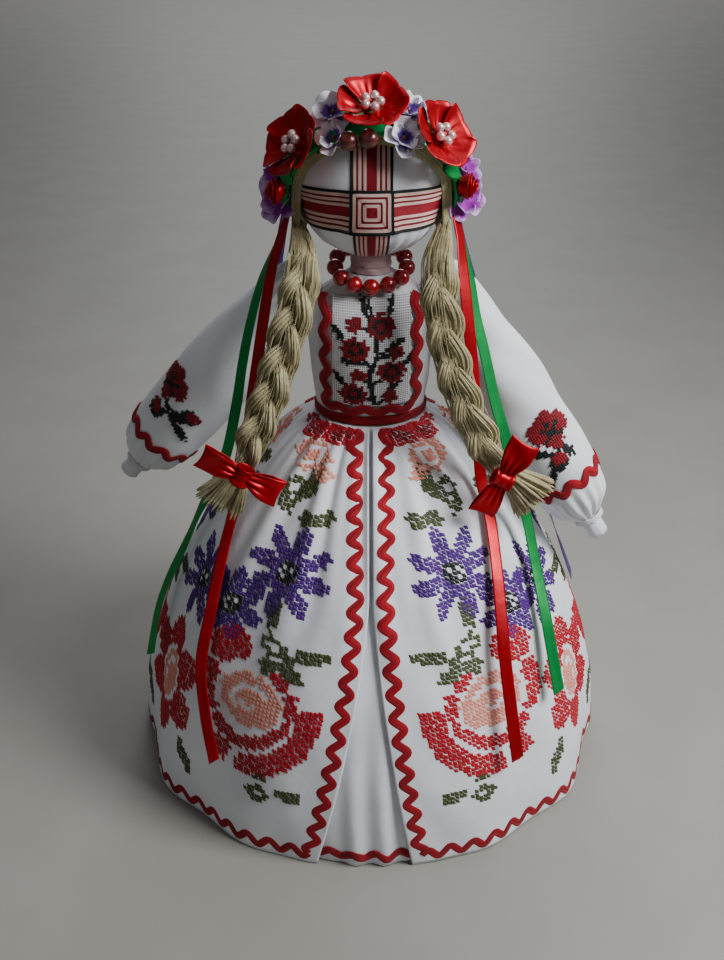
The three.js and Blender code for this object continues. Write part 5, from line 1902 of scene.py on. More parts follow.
@dataclass
class Head:
    """Head, neck, wound face cross and flax hair."""

    shape: HeadShape = HeadShape()
    band_half: float = 8.9
    pitch: float = 0.43
    thread: float = 0.25
    middle_height: float = 296.3
    black: float = 1.25
    stripes: tuple[float, ...] = (1.3, 0.95, 1.2, 0.95, 1.2)
    neck_radius: float = 9.6

    def ball(self) -> None:
        """The stuffed head, gathered towards the neck."""
        polar, angle = lattice(np.linspace(0.02, pi - 0.36, 70), circle(140))
        ray = rays(polar, angle)
        low = ease(1.8, 2.75, polar)
        fold = 0.5 + 0.5 * np.cos(27 * angle + 1.4 * np.sin(4 * angle))
        dent = -1.15 * low * fold - 0.12 * (1 + np.sin(7 * angle + 3 * polar))
        cloth = PieceBuilder("head_cloth").add_grid(self.shape.on(ray, dent), around=True).build(
            [FINISH.white], "doll", "head", "white_cloth", 0.4, -1.0)

    def neck(self) -> None:
        """The neck, wound with a strip of pinkish cloth."""
        turn, height = np.meshgrid(circle(72), np.linspace(260.4, 274.7, 72))
        phase = ((height - 260.4) / 3.4 + turn / TURN) % 1
        radius = self.neck_radius - 0.55 * phase**3 - 0.15 * np.sin(7 * turn + height)
        builder = PieceBuilder("neck_strip")
        grid = spots(radius * np.sin(turn), -radius * np.cos(turn), height)
        builder.add_grid(grid, around=True)
        builder.build([FINISH.skin], "doll", "neck_wrap", "neck_cloth", 0.4, -1.0)

    def colour(self, from_middle: float) -> Stripe:
        """The stripe's colour at a distance from the band's middle line.

        Args:
            from_middle: the distance.

        Returns:
            The stripe.
        """
        inward = self.band_half + self.pitch / 2 - abs(from_middle) - self.black
        if inward < 0:
            return Stripe.BLACK
        order = int(np.searchsorted(np.cumsum(self.stripes), inward))
        return (Stripe.CREAM, Stripe.DARK, Stripe.CREAM, Stripe.DARK, Stripe.CREAM, Stripe.RED)[order]

    def cross(self) -> None:
        """Threads wound down and across the face, and square turns where they cross."""
        shape, rng = self.shape, np.random.default_rng(5)
        offsets = np.arange(-self.band_half, self.band_half + 0.01, self.pitch)
        builder = PieceBuilder("cross_upright_threads")
        angle = np.radians(np.linspace(-66, 52, 56))
        for offset in offsets:
            x = (offset * (1 - 0.34 * np.maximum(-np.sin(angle), 0) ** 1.3)
                 + 0.03 * np.sin(9 * angle + rng.uniform(0, 6)))
            path = shape.face(x, shape.centre[2] + shape.half[2] * np.sin(angle) * np.sqrt(1 - (x / 33) ** 2),
                              np.full_like(x, 0.45 + rng.uniform(-0.04, 0.04)))
            builder.add_tube(path, self.thread, sides=6, finish=self.colour(offset).value)
        builder.build(FINISH.windings, "doll", "cross_vertical", "thread")
        builder = PieceBuilder("cross_level_threads")
        turn = np.radians(np.linspace(-76, 76, 90))
        sideways = 1 - np.cos(turn)
        for offset in offsets:
            z = (self.middle_height - 2 * sideways + offset * (1 - 0.12 * sideways)
                 + 0.03 * np.sin(9 * turn + offset))
            up = (z - shape.centre[2]) / shape.half[2]
            level = np.sqrt(1 - up**2)
            ray = spots(level * np.sin(turn), -level * np.cos(turn), up) * np.array(shape.half)
            lift = 0.45 + 0.8 * ease(0, 5, self.band_half + 5 - np.abs(ray[:, 0])) + rng.uniform(-0.04, 0.04)
            builder.add_tube(shape.on(ray, lift), self.thread, sides=6, finish=self.colour(offset).value)
        for half in np.arange(self.band_half, 0.1, -self.pitch):
            corner = min(0.55, half * 0.6)
            ticks = np.linspace(-1, 1, 9)[:-1]
            side = np.array([[half, t * (half - corner)] for t in ticks]
                            + [[half - 0.3 * corner, half - 0.3 * corner]])
            turns = [np.array([[0, -1], [1, 0]]), np.eye(2)]
            loop = np.vstack([side @ np.linalg.matrix_power(turns[0], k).T for k in range(4)])
            path = shape.face(loop[:, 0], self.middle_height + loop[:, 1], np.full(len(loop), 1.75))
            builder.add_tube(path, self.thread, sides=6, closed=True, finish=self.colour(half).value)
        builder.build(FINISH.windings, "doll", "cross_horizontal", "thread")

    def hair(self) -> None:
        """Flax combed from a middle parting over the sides and back to the two braids."""
        shape, rng = self.shape, np.random.default_rng(3)
        centre = np.array(shape.centre)
        builder = PieceBuilder("hair_flax")
        polar, angle = lattice(np.linspace(0.02, 2.35, 40), circle(90))
        ray = rays(polar, angle)
        points = shape.on(ray, 2.3)
        builder.add_grid(points, around=True)
        builder.keep(lambda middles: (middles[:, 1] > -9.5) & (middles[:, 2] > 282))
        wreath = Wreath()
        for side in Side:
            root = np.array([32.6 * side.value, -11.5, 286.5]) - centre
            for back in np.linspace(-17, 128, 118):
                tilt = radians(back + rng.uniform(-0.6, 0.6))
                start = np.array([0.012 * side.value, sin(tilt), cos(tilt)]) * np.array(shape.half)
                goal = root + rng.normal(0, 1.5, 3) + np.array([0, 2.0, 0.0]) * max(back - 60, 0) / 68
                share = np.linspace(0, 1, 26)[:, None]
                low = max(back - 70, 0) / 58
                belly = np.array([10.0 * side.value, 8.0 + 6 * low, 4.0 - 12 * low]) * np.sin(pi * share)
                ray = (1 - share) * start + share * goal + belly
                lift = 3.2 + rng.uniform(-0.25, 0.5) + 0.25 * np.sin(9 * share[:, 0] + back)
                builder.add_tube(shape.on(ray, lift), 0.56, sides=5)
            for order in range(30):
                depth = order / 29
                arc = np.linspace(90, 4 + 4 * depth, 30)
                along = arc if side is Side.RIGHT else 180 - arc
                drop = ease(34, 4, arc)
                across = -11.8 + 4.2 * depth - 3.2 * drop * (1 - depth) + rng.uniform(-0.3, 0.3)
                path, _ = wreath.on(along, across, 1.0 + 2.6 * depth + rng.uniform(-0.2, 0.4))
                foot = np.array([(33.0 + 2.5 * depth) * side.value, -19.5 + 9 * depth,
                                 278 + rng.uniform(-2.5, 2)])
                path = curve([*path[::3], path[-1] * 0.45 + foot * 0.55, foot], 44)
                taper = np.interp(np.linspace(0, 1, 44), (0, 0.85, 1), (0.5, 0.5, 0.35))
                builder.add_tube(path, taper, sides=6)
        builder.build([FINISH.flax], "doll", "hair_cap", "flax")

    def build(self) -> None:
        """All of the head."""
        self.ball()
        self.neck()
        self.cross()
        self.hair()


# Braids, bows and tassels


@dataclass
class Braids:
    """Flax braids with satin bows and tassels."""

    routes: dict[Side, tuple[Spot, ...]] = field(default_factory=lambda: {
        Side.LEFT: ((-33.5, -11.5, 287), (-30.6, -26, 276), (-32, -32.5, 262), (-38.5, -39, 239),
                    (-46, -44, 216), (-55, -48, 193), (-59, -49, 182)),
        Side.RIGHT: ((33.5, -11.5, 287), (30, -26, 276), (30.3, -32.5, 262), (34, -39, 239),
                     (41, -44.5, 216), (51.5, -48.5, 194), (60, -49, 180))})
    tassel_ways: dict[Side, Spot] = field(default_factory=lambda: {
        Side.LEFT: (-0.55, -0.05, -0.83), Side.RIGHT: (0.74, -0.05, -0.67)})
    bow_ways: dict[Side, Spot] = field(default_factory=lambda: {
        Side.LEFT: (-0.87, 0, 0.5), Side.RIGHT: (0.45, 0, 0.89)})
    turns: float = 2.3
    yarns: int = 24
    yarn: float = 0.55
    tassel_length: float = 26.0
    tassel_strands: int = 118

    def plait(self, side: Side, body: str) -> None:
        """Three strands of yarn, loose at the temple, plaited below and drawn in at the tie.

        Args:
            side: the side of the doll.
            body: the body that it rides on.
        """
        path = curve(self.routes[side], 150)
        share = np.linspace(0, 1, len(path))
        across, depth = side_frames(path, (1.0, 0, 0.1))
        swell = np.interp(share, (0, 0.05, 0.1, 0.18, 0.3, 0.88, 1), (1.8, 3.4, 4.8, 7.3, 8.3, 7.9, 4.6))
        woven = ease(0.12, 0.27, share)
        rng = np.random.default_rng(20 + side.value)
        builder = PieceBuilder(f"braid_flax_{side.word}")
        for strand in range(3):
            phase = self.turns * TURN * share + strand * TURN / 3
            over = woven * 0.64 * np.sin(phase) + (1 - woven) * 0.6 * (strand - 1)
            front = woven * 0.46 * np.sin(2 * phase)
            middle = path + (over * swell)[:, None] * across + (front * swell)[:, None] * depth
            strand_across, strand_depth = side_frames(middle, (1.0, 0, 0.1))
            plump = swell * (0.33 + 0.06 * woven * np.sin(phase) ** 2)
            builder.add_tube(middle, plump * 0.92, sides=10, flat=0.8, first=(0, -1.0, 0))
            for yarn in range(self.yarns):
                turn = (yarn + rng.uniform(-0.4, 0.4)) / self.yarns * TURN + share * TURN * (0.5 + 0.5 * woven)
                turn = turn + 0.2 * np.sin(9 * share + rng.uniform(0, TURN))
                spread = plump * (1.04 + 0.09 * rng.uniform(-1, 1)
                                  + 0.05 * np.sin(23 * share + rng.uniform(0, TURN)))
                run = (middle + (spread * np.cos(turn))[:, None] * strand_across
                       + (spread * 0.8 * np.sin(turn))[:, None] * strand_depth)
                radius = self.yarn * (1 + 0.25 * rng.uniform(-1, 1)) * np.interp(share, (0, 0.08, 0.9, 1),
                    (0.8, 1, 1, 0.75))
                builder.add_tube(run, radius, sides=5)
        for _ in range(46):
            drift = rng.uniform(-1, 1, (6, 3)) * np.array([1, 1, 0.4])
            wander = np.column_stack([np.interp(share, np.linspace(0, 1, 6), drift[:, k]) for k in range(3)])
            angle = rng.uniform(0, TURN)
            ring = (across * cos(angle) + depth * 0.75 * sin(angle)) * (swell * 0.92)[:, None]
            builder.add_tube(path + ring + wander * 0.9, 0.13, sides=4)
        builder.build([FINISH.flax], body, f"braid_{side.word}", "flax")

    def tassel(self, side: Side, body: str) -> None:
        """A fan of loose flax under the bow.

        Args:
            side: the side of the doll.
            body: the body that it rides on.
        """
        tie = np.array(self.routes[side][-1], float)
        along = unit(np.array(self.tassel_ways[side], float))
        across = unit(np.cross(along, (0, 1.0, 0)))
        depth = np.cross(along, across)
        rng = np.random.default_rng(40 + side.value)
        builder = PieceBuilder(f"tassel_flax_{side.word}")
        for _ in range(self.tassel_strands):
            angle, reach = rng.uniform(0, TURN), sqrt(rng.uniform(0, 1))
            out = across * cos(angle) * reach + depth * 0.62 * sin(angle) * reach
            share = np.linspace(0, 1, 16)[:, None]
            length = self.tassel_length * rng.uniform(0.84, 0.97)
            spread = 3.2 + 9.6 * share**1.1 + 0.6 * np.sin(3.1 * share + angle)
            path = tie + along * (0.6 + length * share) + out * spread
            path = path + rng.normal(0, 0.5, 3) * share * np.sin(4 * share + angle)
            builder.add_tube(path, np.interp(share[:, 0], (0, 0.85, 1), (0.85, 0.72, 0.3)), sides=6)
        builder.build([FINISH.flax], body, f"tassel_{side.word}", "flax")

    def bow(self, side: Side, body: str) -> None:
        """Two open ribbon loops and a knot, seen face on.

        Args:
            side: the side of the doll.
            body: the body that it rides on.
        """
        tie = np.array(self.routes[side][-1], float)
        knot = tie + np.array([0, -10.5, 0])
        way = unit(np.array(self.bow_ways[side], float))
        ahead = np.array([0, -1.0, 0])
        across = unit(np.cross(way, ahead))
        builder = PieceBuilder(f"bow_satin_{side.word}")
        for sign, reach in ((1.0, 1.0), (-1.0, 0.92)):
            turn = np.linspace(-0.93 * pi, 0.93 * pi, 46)
            out = 1.5 + (9.7 + 9.6 * np.cos(turn)) * reach
            lift = 1.5 * np.sin(turn) * ease(0, 10, out)
            wide = 6.3 * np.interp(out, (1.5, 5, 12, 21), (0.42, 0.66, 0.95, 1.08))
            w = np.linspace(-1, 1, 29)
            fold = 1.5 * (np.abs(np.sin(1.6 * pi * w + 0.7 * sign)) - 0.5)[None] * ease(17, 4, out)[:, None]
            fold = (fold + (1.3 * sign * w * ease(3, 15, out[:, None]))
                    + 0.4 * np.sin(2.5 * w[None] + 0.4 * out[:, None]))
            bow = (1.1 * w**2 - 0.3)[None] * ease(12, 21, out)[:, None]
            grid = (knot + (sign * (out[:, None] + bow))[..., None] * way
                    + (wide[:, None] * w[None])[..., None] * across + (lift[:, None] + fold)[..., None] * ahead)
            builder.add_grid(grid)
        angle, row = lattice(circle(30), np.linspace(-1, 1, 13))
        waist = 1 - 0.2 * (1 - row**2) + 0.05 * np.cos(2.5 * pi * row)
        grid = (knot + (4.7 * row)[..., None] * across + (3.6 * waist * np.cos(angle))[..., None] * ahead * 0.95
                + (4.3 * waist * np.sin(angle))[..., None] * way)
        builder.add_grid(grid, along=True)
        builder.build([FINISH.red_satin], body, f"bow_{side.word}", "red_satin", 0.3, 0.0)

    def build(self) -> None:
        """Both braids."""
        for side in Side:
            body = f"{side.word}_braid"
            self.plait(side, body)
            self.tassel(side, body)
            self.bow(side, body)


# Wreath


@dataclass
class Wreath:
    """A green band with satin flowers, pansies, leaves, rosebuds and berries."""

    head: HeadShape = HeadShape()
    slope: float = 30.0
    flower_radius: float = 14.2
    pansy_radius: float = 8.6
    pearl: float = 2.0
    pearl_ring: float = 3.35
    bud: float = 6.6
    berry: float = 4.2

    def on(self, along: Array, across: Array, lift: Array = 0.0) -> tuple[Array, Array]:
        """A place on the wreath and its outward direction, for two angles in degrees.

        Args:
            along: its place round the wreath in degrees.
            across: its place across the wreath in degrees.
            lift: height over the head.

        Returns:
            The place and the direction.
        """
        a, b, tilt = np.radians(along), np.radians(across), radians(self.slope)
        up, back = np.array([0, -sin(tilt), cos(tilt)]), np.array([0, cos(tilt), sin(tilt)])
        side = np.array([1.0, 0, 0])
        ray = ((np.cos(a)[..., None] * side + np.sin(a)[..., None] * up) * np.cos(b)[..., None]
               + np.sin(b)[..., None] * back) * 33 + np.array([0, -1.0, -5.0])
        return self.head.on(ray, np.asarray(lift, float) + 0 * a), self.head.outward(ray)

    def seat(self, along: float, across: float, spin: float = 0.0, lift: float = 0.0) -> Frame3:
        """The place of a piece that sits on the band."""
        place, outward = self.on(np.array(float(along)), np.array(float(across)), 8.0 + lift)
        return Frame3(place, outward, spin)

    def band(self) -> None:
        """The band, wound with green ribbon."""
        along = np.linspace(-9, 189, 330)
        section = circle(20)
        w = np.sign(np.cos(section)) * np.abs(np.cos(section)) ** 0.6
        h = np.sign(np.sin(section)) * np.abs(np.sin(section)) ** 0.6
        over = np.degrees(7.2 * w / 37)[None] + 0 * along[:, None]
        wound = ((along / 6.2)[:, None] + w[None] * 0.35) % 1
        lift = 6.2 + (1.35 + 0.15 * wound) * h[None]
        points, _ = self.on(along[:, None] + 0 * over, over, lift)
        PieceBuilder("wreath_ribbon").add_grid(points, around=True).build(
            [FINISH.green_satin], "doll", "wreath_band", "green_satin")

    def petal(self, builder: PieceBuilder, seat: Frame3, turn: float, seed: int) -> None:
        """One broad satin petal: cupped, with pointed corners, a straight edge and a fold down its middle.

        Args:
            builder: the piece that takes it.
            seat: the flower's place.
            turn: its angle in degrees.
            seed: its number.
        """
        share, w = lattice(np.linspace(0, 1, 24), np.linspace(-1, 1, 27))
        corner = 0.12 * w**2 - 0.17 * w**10 - 0.04 * np.exp(-((w / 0.12) ** 2))
        reach = (2.4 + (self.flower_radius - 1.9) * share) * (1 + corner * share**2)
        spread = radians(41) * (0.5 + 0.5 * ease(0, 0.4, share)) * (1 - 0.1 * ease(0.7, 1, share))
        angle = radians(turn) + w * spread
        fold = 0.7 * np.exp(-((w / 0.13) ** 2)) * np.sin(pi * np.clip(share, 0, 0.93))
        side_fold = 0.42 * np.cos(1.9 * pi * w + 2 * seed) * np.sin(pi * share) * (1 - 0.3 * share)
        lap = 1.1 * w * ease(0.05, 0.5, share)
        z = 4.3 + 5.8 * share**1.4 + 1.5 * w**2 * share**2 - fold + side_fold + lap - 0.8 * ease(0.86, 1, share)
        builder.add_grid(seat.round(reach, angle, z))

    def satin_flower(self, word: str, along: float, across: float, spin: float) -> None:
        """A five-petal satin flower on its stub, with five pearls.

        Args:
            word: the end of its name.
            along: its place round the wreath in degrees.
            across: its place across the wreath in degrees.
            spin: its turn about its own middle.
        """
        seat = self.seat(along, across, spin)
        builder = PieceBuilder(f"satin_flower_{word}_petals")
        for k in range(5):
            self.petal(builder, seat, 72 * k + 18, k)
        z, angle = lattice(np.linspace(0.2, 5.6, 10), circle(30))
        girth = 3.4 + 0.25 * np.cos(10 * angle)
        builder.add_grid(seat.round(girth, angle, z), around=True)
        builder.build([FINISH.red_satin], "doll", f"satin_flower_{word}", "red_satin", 0.35, 0.0)
        pearls = PieceBuilder(f"pearl_ring_{word}")
        for k in range(5):
            pearls.add_ball(seat.round(self.pearl_ring, radians(72 * k + 54), 8.75), self.pearl, 16, 22)
        pearls.build([FINISH.pearl], "doll", f"pearls_{word}", "pearl")

    def pansy(self, word: str, along: float, across: float, spin: float, magenta: bool, lean: float = 0.0,
              size: float = 1.0, own: bool = False) -> None:
        """A ruffled cloth blossom with a pale rim.

        Args:
            word: the end of its name.
            along: its place round the wreath in degrees.
            across: its place across the wreath in degrees.
            spin: its turn about its own middle.
            magenta: whether it is one of the larger magenta ones.
            lean: how far it leans towards the front, from 0 to 1.
            size: its size as a share of the usual one.
            own: whether it has no solid of its own.
        """
        place, outward = self.on(np.array(float(along)), np.array(float(across)), 8.0)
        seat = Frame3(place, unit(outward * (1 - lean) + np.array([0, -0.85, 0.5]) * lean), spin)
        builder = PieceBuilder(f"pansy_{word}_petals")
        share, w = lattice(np.linspace(0, 1, 16), np.linspace(-1, 1, 17))
        radius = self.pansy_radius * size
        for layer, count in ((0, 4), (1, 3)):
            for k in range(count):
                edge = 1 - 0.3 * np.abs(w) ** 2.6 * share - 0.05 * np.exp(-((w / 0.2) ** 2)) * share
                reach = (0.8 + (radius * (1 - 0.3 * layer) - 0.9) * share) * edge
                spread = radians((222 - 40 * layer) / count) * (0.5 + 0.5 * ease(0, 0.5, share))
                angle = radians(360 / count * k + 40 * layer) + w * spread * (1 - 0.24 * ease(0.6, 1, share))
                ruffle = (0.95 + 0.2 * layer) * np.sin(1.6 * pi * w + 1.7 * k) * share**1.5
                z = 0.7 + (1.6 + 2.2 * layer) * share**2 + ruffle + 0.4 * w * (1 - 2 * (k % 2)) + 0.3 * (k %
                    3) + 0.5 * layer
                cloth = spots(w * 5 * share + 11 * k + 3 * layer, 10 * share * (edge**0.5))
                builder.add_grid(seat.round(reach, angle, z), cloth)
        builder.add_ball(seat.place([[0, 0, 1.6]])[0], 1.1, 10, 16, finish=1)
        finish = FINISH.magenta_petal if magenta else FINISH.violet_petal
        builder.build([finish, FINISH.berry], "doll", "" if own else f"pansy_{word}", "pansy_cloth", 0.25, 0.0)

    def leaf(self, word: str, along: float, across: float, spin: float, own: bool = False) -> None:
        """A folded loop of green ribbon that ends in a point; its own ones have no solid.

        Args:
            word: the end of its name.
            along: its place round the wreath in degrees.
            across: its place across the wreath in degrees.
            spin: its turn about its own middle.
            own: whether it has no solid of its own.
        """
        seat = self.seat(along, across, spin)
        share, w = lattice(np.linspace(0, 1, 26), np.linspace(-1, 1, 13))
        half = (2.5 if own else 3.1) * np.sin(pi * np.clip(0.12 + 0.86 * share, 0, 1)) ** 0.8
        crease = 0.7 * np.abs(w) * np.sin(pi * share) + 0.18 * np.cos(4 * pi * w) * (1 - share)
        builder = PieceBuilder(f"leaf_{word}_loop")
        for lift, way in ((0.25, 1.0), (1.15, 0.7)):
            z = lift + way * crease + 1.1 * share**2 * (1 if way < 1 else 0.3)
            length = (11.0 if own else 14.0) * share * (1.0 if way == 1.0 else 0.86)
            builder.add_grid(seat.place(spots(length - 7.5, half * w, z)))
        builder.build([FINISH.green_satin], "doll", "" if own else f"leaf_{word}", "green_satin", 0.25, 0.0)

    def rosebud(self, word: str, along: float, across: float) -> None:
        """A ribbon rolled into a bud.

        Args:
            word: the end of its name.
            along: its place round the wreath in degrees.
            across: its place across the wreath in degrees.
        """
        seat = self.seat(along, across)
        turn, row = lattice(np.linspace(0, 4.2, 260), np.linspace(0, 1, 11))
        share = turn / 4.2
        radius = (0.4 + 5.5 * share**0.9) * (0.72 + 0.28 * np.sin(1.9 * row)) + 0.3 * np.sin(15.7 * turn) * row
        z = 0.3 + (8.1 - 4.3 * share**1.4) * row + 0.7 * np.sin(turn * 7.3) * row * share
        radius = radius + 1.0 * ease(0.7, 1, row) * share
        radius = np.minimum(radius, self.bud - 0.2)
        angle = turn * TURN
        builder = PieceBuilder(f"rosebud_{word}_roll")
        grid = seat.round(radius, angle, z)
        builder.add_grid(np.swapaxes(grid, 0, 1))
        builder.build([FINISH.red_satin], "doll", f"rosebud_{word}", "red_satin", 0.3, 0.0)

    def berry_ball(self, word: str, along: float, across: float) -> None:
        """A small lacquered berry with a dimple.

        Args:
            word: the end of its name.
            along: its place round the wreath in degrees.
            across: its place across the wreath in degrees.
        """
        place, outward = self.on(np.array(float(along)), np.array(float(across)), 8.0 + self.berry - 1.0)
        seat = Frame3(place, outward)
        polar, angle = lattice(np.linspace(0.01, pi - 0.01, 22), circle(28))
        radius = self.berry * (1 - 0.16 * np.exp(-((polar / 0.28) ** 2))) - 0.05
        ball = radius[..., None] * rays(polar, angle)
        PieceBuilder(f"berry_{word}_ball").add_grid(seat.place(ball), around=True).build(
            [FINISH.berry], "doll", f"berry_{word}", "berry")

    def build(self) -> None:
        """All of the wreath."""
        self.band()
        for word, along, across, spin in (("centre", 90, 0, 90), ("left", 134, -8, 140), ("right", 52, -7, 40)):
            self.satin_flower(word, along, across, spin)
        pansies = (("crown_left", 113, 7, 20, False, 0.35, 1.35), ("crown_right", 69, 8, 50, False, 0.2, 1.15),
            ("brow_right", 71, -13, 10, False, 0.0, 1.12), ("ear_left", 181, 0, 30, True, 0.55, 1.6),
            ("ear_right", -1, 0, 0, True, 0.6, 1.5), ("side_left", 155, 8, 70, False, 0.3, 1.15),
            ("brow_left", 113, -12, 60, False, 0.0, 1.0, True),
            ("temple_left", 167, 4, 15, True, 0.4, 1.3, True),
            ("temple_right", 13, 4, 25, True, 0.4, 1.3, True),
            ("side_right", 31, 9, 40, False, 0.2, 0.9, True))
        for pansy in pansies:
            self.pansy(*pansy)
        leaves = (("crown_left", 117, -13, 200), ("side_left", 155, -10, 110), ("side_right", 27, 7, 60),
                  ("brow_right", 31, -13, 30), ("crown", 86, 12, 120),
                  ("crown_back", 100, 11, 60, True), ("back_right", 48, 11, 80, True),
                  ("back_left", 138, 10, 100, True), ("low_right", 8, -9, 75, True),
                  ("low_left", 172, -9, 105, True), ("gap_right", 38, 2, 95, True),
                  ("gap_left", 148, 2, 85, True))
        for leaf in leaves:
            self.leaf(*leaf)
        self.rosebud("left", 167, -10)
        self.rosebud("right", 16, -9)
        self.berry_ball("centre", 92, -17)
        self.berry_ball("left", 104, -17)


# Ribbons and necklace


@dataclass
class Ribbons:
    """Satin ribbons that hang from the wreath on both sides."""

    width: float = 6.1
    stand: float = 0.25
    routes: dict[str, tuple[Spot, ...]] = field(default_factory=lambda: {
        "red_left": ((-37.8, -8.2, 288.4), (-40.5, -12.5, 280), (-45, -18, 266), (-48.5, -24.5, 248),
                     (-52, -30, 228), (-56, -34, 205), (-59, -35.5, 185), (-62, -36, 167), (-67, -39, 150),
                     (-72, -52, 133), (-77, -67.5, 112), (-81.5, -79.5, 90), (-79, -93.5, 70),
                     (-74.5, -104.5, 50)),
        "red_right": ((37.8, -8.2, 288.4), (40, -12.5, 280), (41, -19, 270), (43, -26, 253), (46.2, -31, 228.6),
                      (49, -34.5, 205), (51, -36.5, 185), (53, -38, 168), (57.5, -49, 151), (60, -70, 130),
                      (63, -90.5, 98.8), (70, -106, 52.8)),
        "green_left": ((-38.5, 0.8, 289.4), (-41.5, -2.5, 279), (-50, -12, 260), (-56, -19.5, 240),
                       (-60, -25, 222), (-63, -30, 205), (-69, -29, 180), (-77, -22, 158), (-86, -14, 140),
                       (-94.5, -18.5, 122), (-104.5, -24, 102.6), (-110.5, -31, 86.9), (-114.5, -42, 66)),
        "green_right": ((38.5, 0.8, 289.4), (41.5, -4, 279), (45, -15.5, 262), (48, -21.5, 245),
                        (52.5, -25.5, 228.6), (58, -30.5, 207), (63.5, -34, 190), (69, -37, 170),
                        (75.5, -38, 150), (80.5, -49.5, 128), (85.5, -66, 104.5), (92, -80.5, 72.4)),
        "violet_left": ((-37.8, 7.6, 294.2), (-42, 14, 274), (-46, 21, 252), (-48, 27.5, 227), (-49, 32, 200),
                        (-51, 46, 172), (-58, 60, 148), (-68, 74, 118), (-75, 86, 88)),
        "violet_right": ((37.8, 7.6, 294.2), (42, 13, 274), (49, 21, 250), (56, 25, 225), (62, 26, 203),
                         (75, 20, 164), (90, 5, 138), (99, -6, 117), (108, -9, 94))})

    def build(self) -> None:
        """All six ribbons."""
        finishes = {"red": FINISH.red_satin, "green": FINISH.green_satin, "violet": FINISH.violet_satin}
        for name, route in self.routes.items():
            colour, side = name.split("_")
            path = curve(route, 150)
            away = unit(path * np.array([0.35, 1.0, 0.0]))
            along = tangents(path)
            across = unit(np.cross(away, along))
            outward = unit(np.cross(along, across))
            share = np.linspace(0, 1, 150)[:, None]
            w = np.linspace(-1, 1, 9)[None]
            cup = 0.18 * (1 - w**2) * np.sin(11 * share) * np.sin(pi * share)
            grid = (path[:, None] + (w * self.width / 2)[..., None] * across[:, None]
                    + (self.stand + cup)[..., None] * outward[:, None])
            grid = grid - (2.2 * (0.5 + 0.5 * w) * ease(0.96, 1, share))[..., None] * along[:, None]
            PieceBuilder(f"ribbon_{name}_satin").add_grid(grid).build(
                [finishes[colour]], f"{side}_{colour}_ribbon", f"ribbon_{name}", f"{colour}_satin", 0.3, 0.0)


@dataclass
class Necklace:
    """Red pearly beads on a string."""

    beads: int = 13
    bead: float = 3.97
    ring: float = 16.86
    tilt: float = 20.0
    centre: Spot = (0.0, -1.74, 263.2)
    string: float = 0.8

    def at(self, angle: Array) -> Array:
        """Points on the ring.

        Args:
            angle: angles round the ring.

        Returns:
            Rows of points.
        """
        tilt = radians(self.tilt)
        x, y = self.ring * np.cos(angle), self.ring * np.sin(angle)
        return spots(x, y * cos(tilt), y * sin(tilt)) + np.array(self.centre)

    def build(self) -> None:
        """Beads with bored ends, and the string."""
        builder = PieceBuilder("bead_string")
        for k in range(self.beads):
            turn = radians(-90) + k / self.beads * TURN
            ahead = unit(self.at(np.array(turn + 0.01)) - self.at(np.array(turn - 0.01)))
            seat = Frame3(self.at(np.array(turn)), ahead)
            polar, angle = lattice(np.linspace(0.2, pi - 0.2, 24), circle(30))
            ball = self.bead * rays(polar, angle)
            builder.add_grid(seat.place(ball), around=True)
        builder.add_tube(self.at(circle(120)), self.string, closed=True, finish=1)
        builder.build([FINISH.bead, FINISH.red_thread], "necklace", "necklace", "bead")


ASSEMBLIES = (Skirts, Blouse, Arms, Head, Braids, Wreath, Ribbons, Necklace)


# Studio


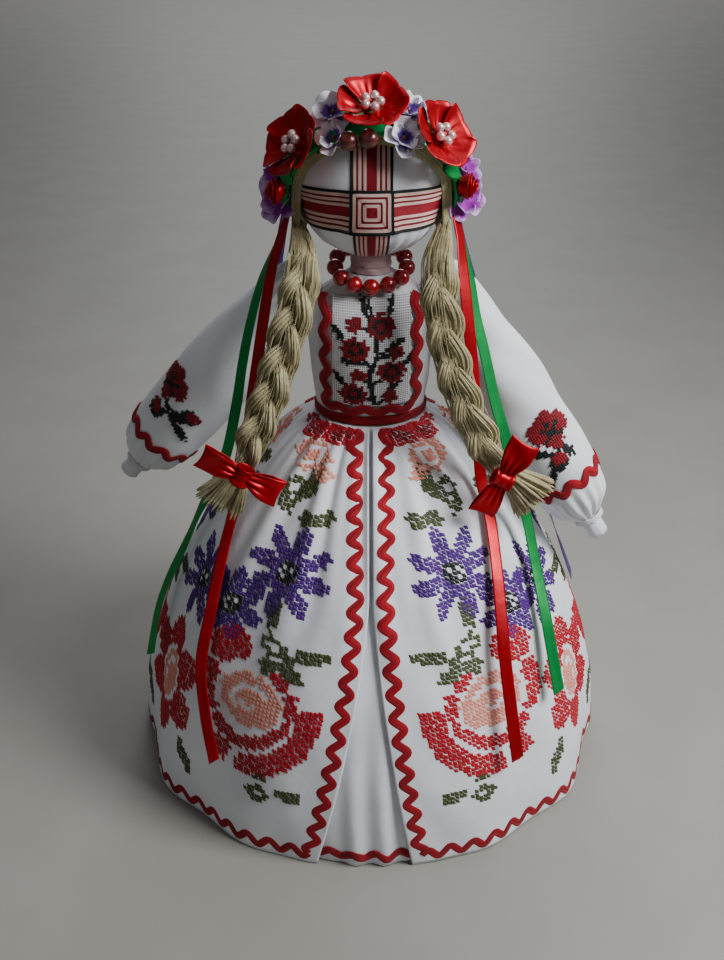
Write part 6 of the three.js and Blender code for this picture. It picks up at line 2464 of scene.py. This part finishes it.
@dataclass
class Studio:
    """Camera, soft lights and floor, in metres."""

    place: Spot = (-0.0042, -0.498, 0.418)
    tilt: float = 61.5
    lens: float = 40.875
    sensor: float = 36.0
    floor_reach: float = 9.0

    def camera(self) -> None:
        """The camera at the photograph's viewing angle."""
        data = bpy.data.cameras.new("camera")
        data.lens, data.sensor_width, data.sensor_fit = self.lens, self.sensor, "AUTO"
        data.clip_start, data.clip_end = 0.01, 20
        camera = bpy.data.objects.new("camera", data)
        camera.location, camera.rotation_euler = self.place, (radians(self.tilt), 0, 0)
        bpy.context.scene.collection.objects.link(camera)
        bpy.context.scene.camera = camera

    def light(self, name: str, power: float, size: float, place: Sequence[float], colour: Colour) -> None:
        """A square soft light that faces the doll.

        Args:
            name: the light's name.
            power: its power in watts.
            size: its side.
            place: where it hangs.
            colour: its colour.
        """
        data = bpy.data.lights.new(name, "AREA")
        data.energy, data.size, data.color = power, size, colour
        lamp = bpy.data.objects.new(name, data)
        lamp.location, lamp.visible_camera = place, False
        lamp.rotation_euler = (Vector((0, 0, 0.16)) - Vector(place)).to_track_quat("-Z", "Y").to_euler()
        bpy.context.scene.collection.objects.link(lamp)

    def surroundings(self) -> None:
        """The floor, the lights and the air."""
        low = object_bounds()[0][2]
        ticks = np.linspace(-self.floor_reach, self.floor_reach, 17)
        grid = spots(*np.meshgrid(ticks, ticks), np.full((17, 17), low)) / MM
        floor = PieceBuilder("studio_floor").add_grid(grid).build([FINISH.stone], None)
        floor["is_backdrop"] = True
        self.light("window light", 10.0, 0.36, (0.57, -0.27, 0.73), (0.965, 0.985, 1.0))
        self.light("fill light", 0.4, 1.2, (-1.0, -0.9, 0.8), (1.0, 0.985, 0.96))
        self.light("top light", 2.4, 0.8, (0.15, 0.3, 1.3), (1.0, 1.0, 1.0))
        self.light("far light", 130.0, 3.0, (0.0, 6.6, 3.2), (0.97, 0.985, 1.0))
        world = bpy.data.worlds.new("studio air")
        world.use_nodes = True
        world.node_tree.nodes["Background"].inputs["Color"].default_value = (0.80, 0.82, 0.86, 1.0)
        world.node_tree.nodes["Background"].inputs["Strength"].default_value = 0.14
        bpy.context.scene.world = world


def main() -> None:
    """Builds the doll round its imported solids, piece by piece."""
    logging.basicConfig(level=logging.INFO, format="%(name)s: %(message)s")
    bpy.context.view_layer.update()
    studio = Studio()
    studio.camera()
    for assembly in ASSEMBLIES:
        LOG.info("building %s", assembly.__name__)
        assembly().build()
    studio.surroundings()


if __name__ == "__main__":
    main()
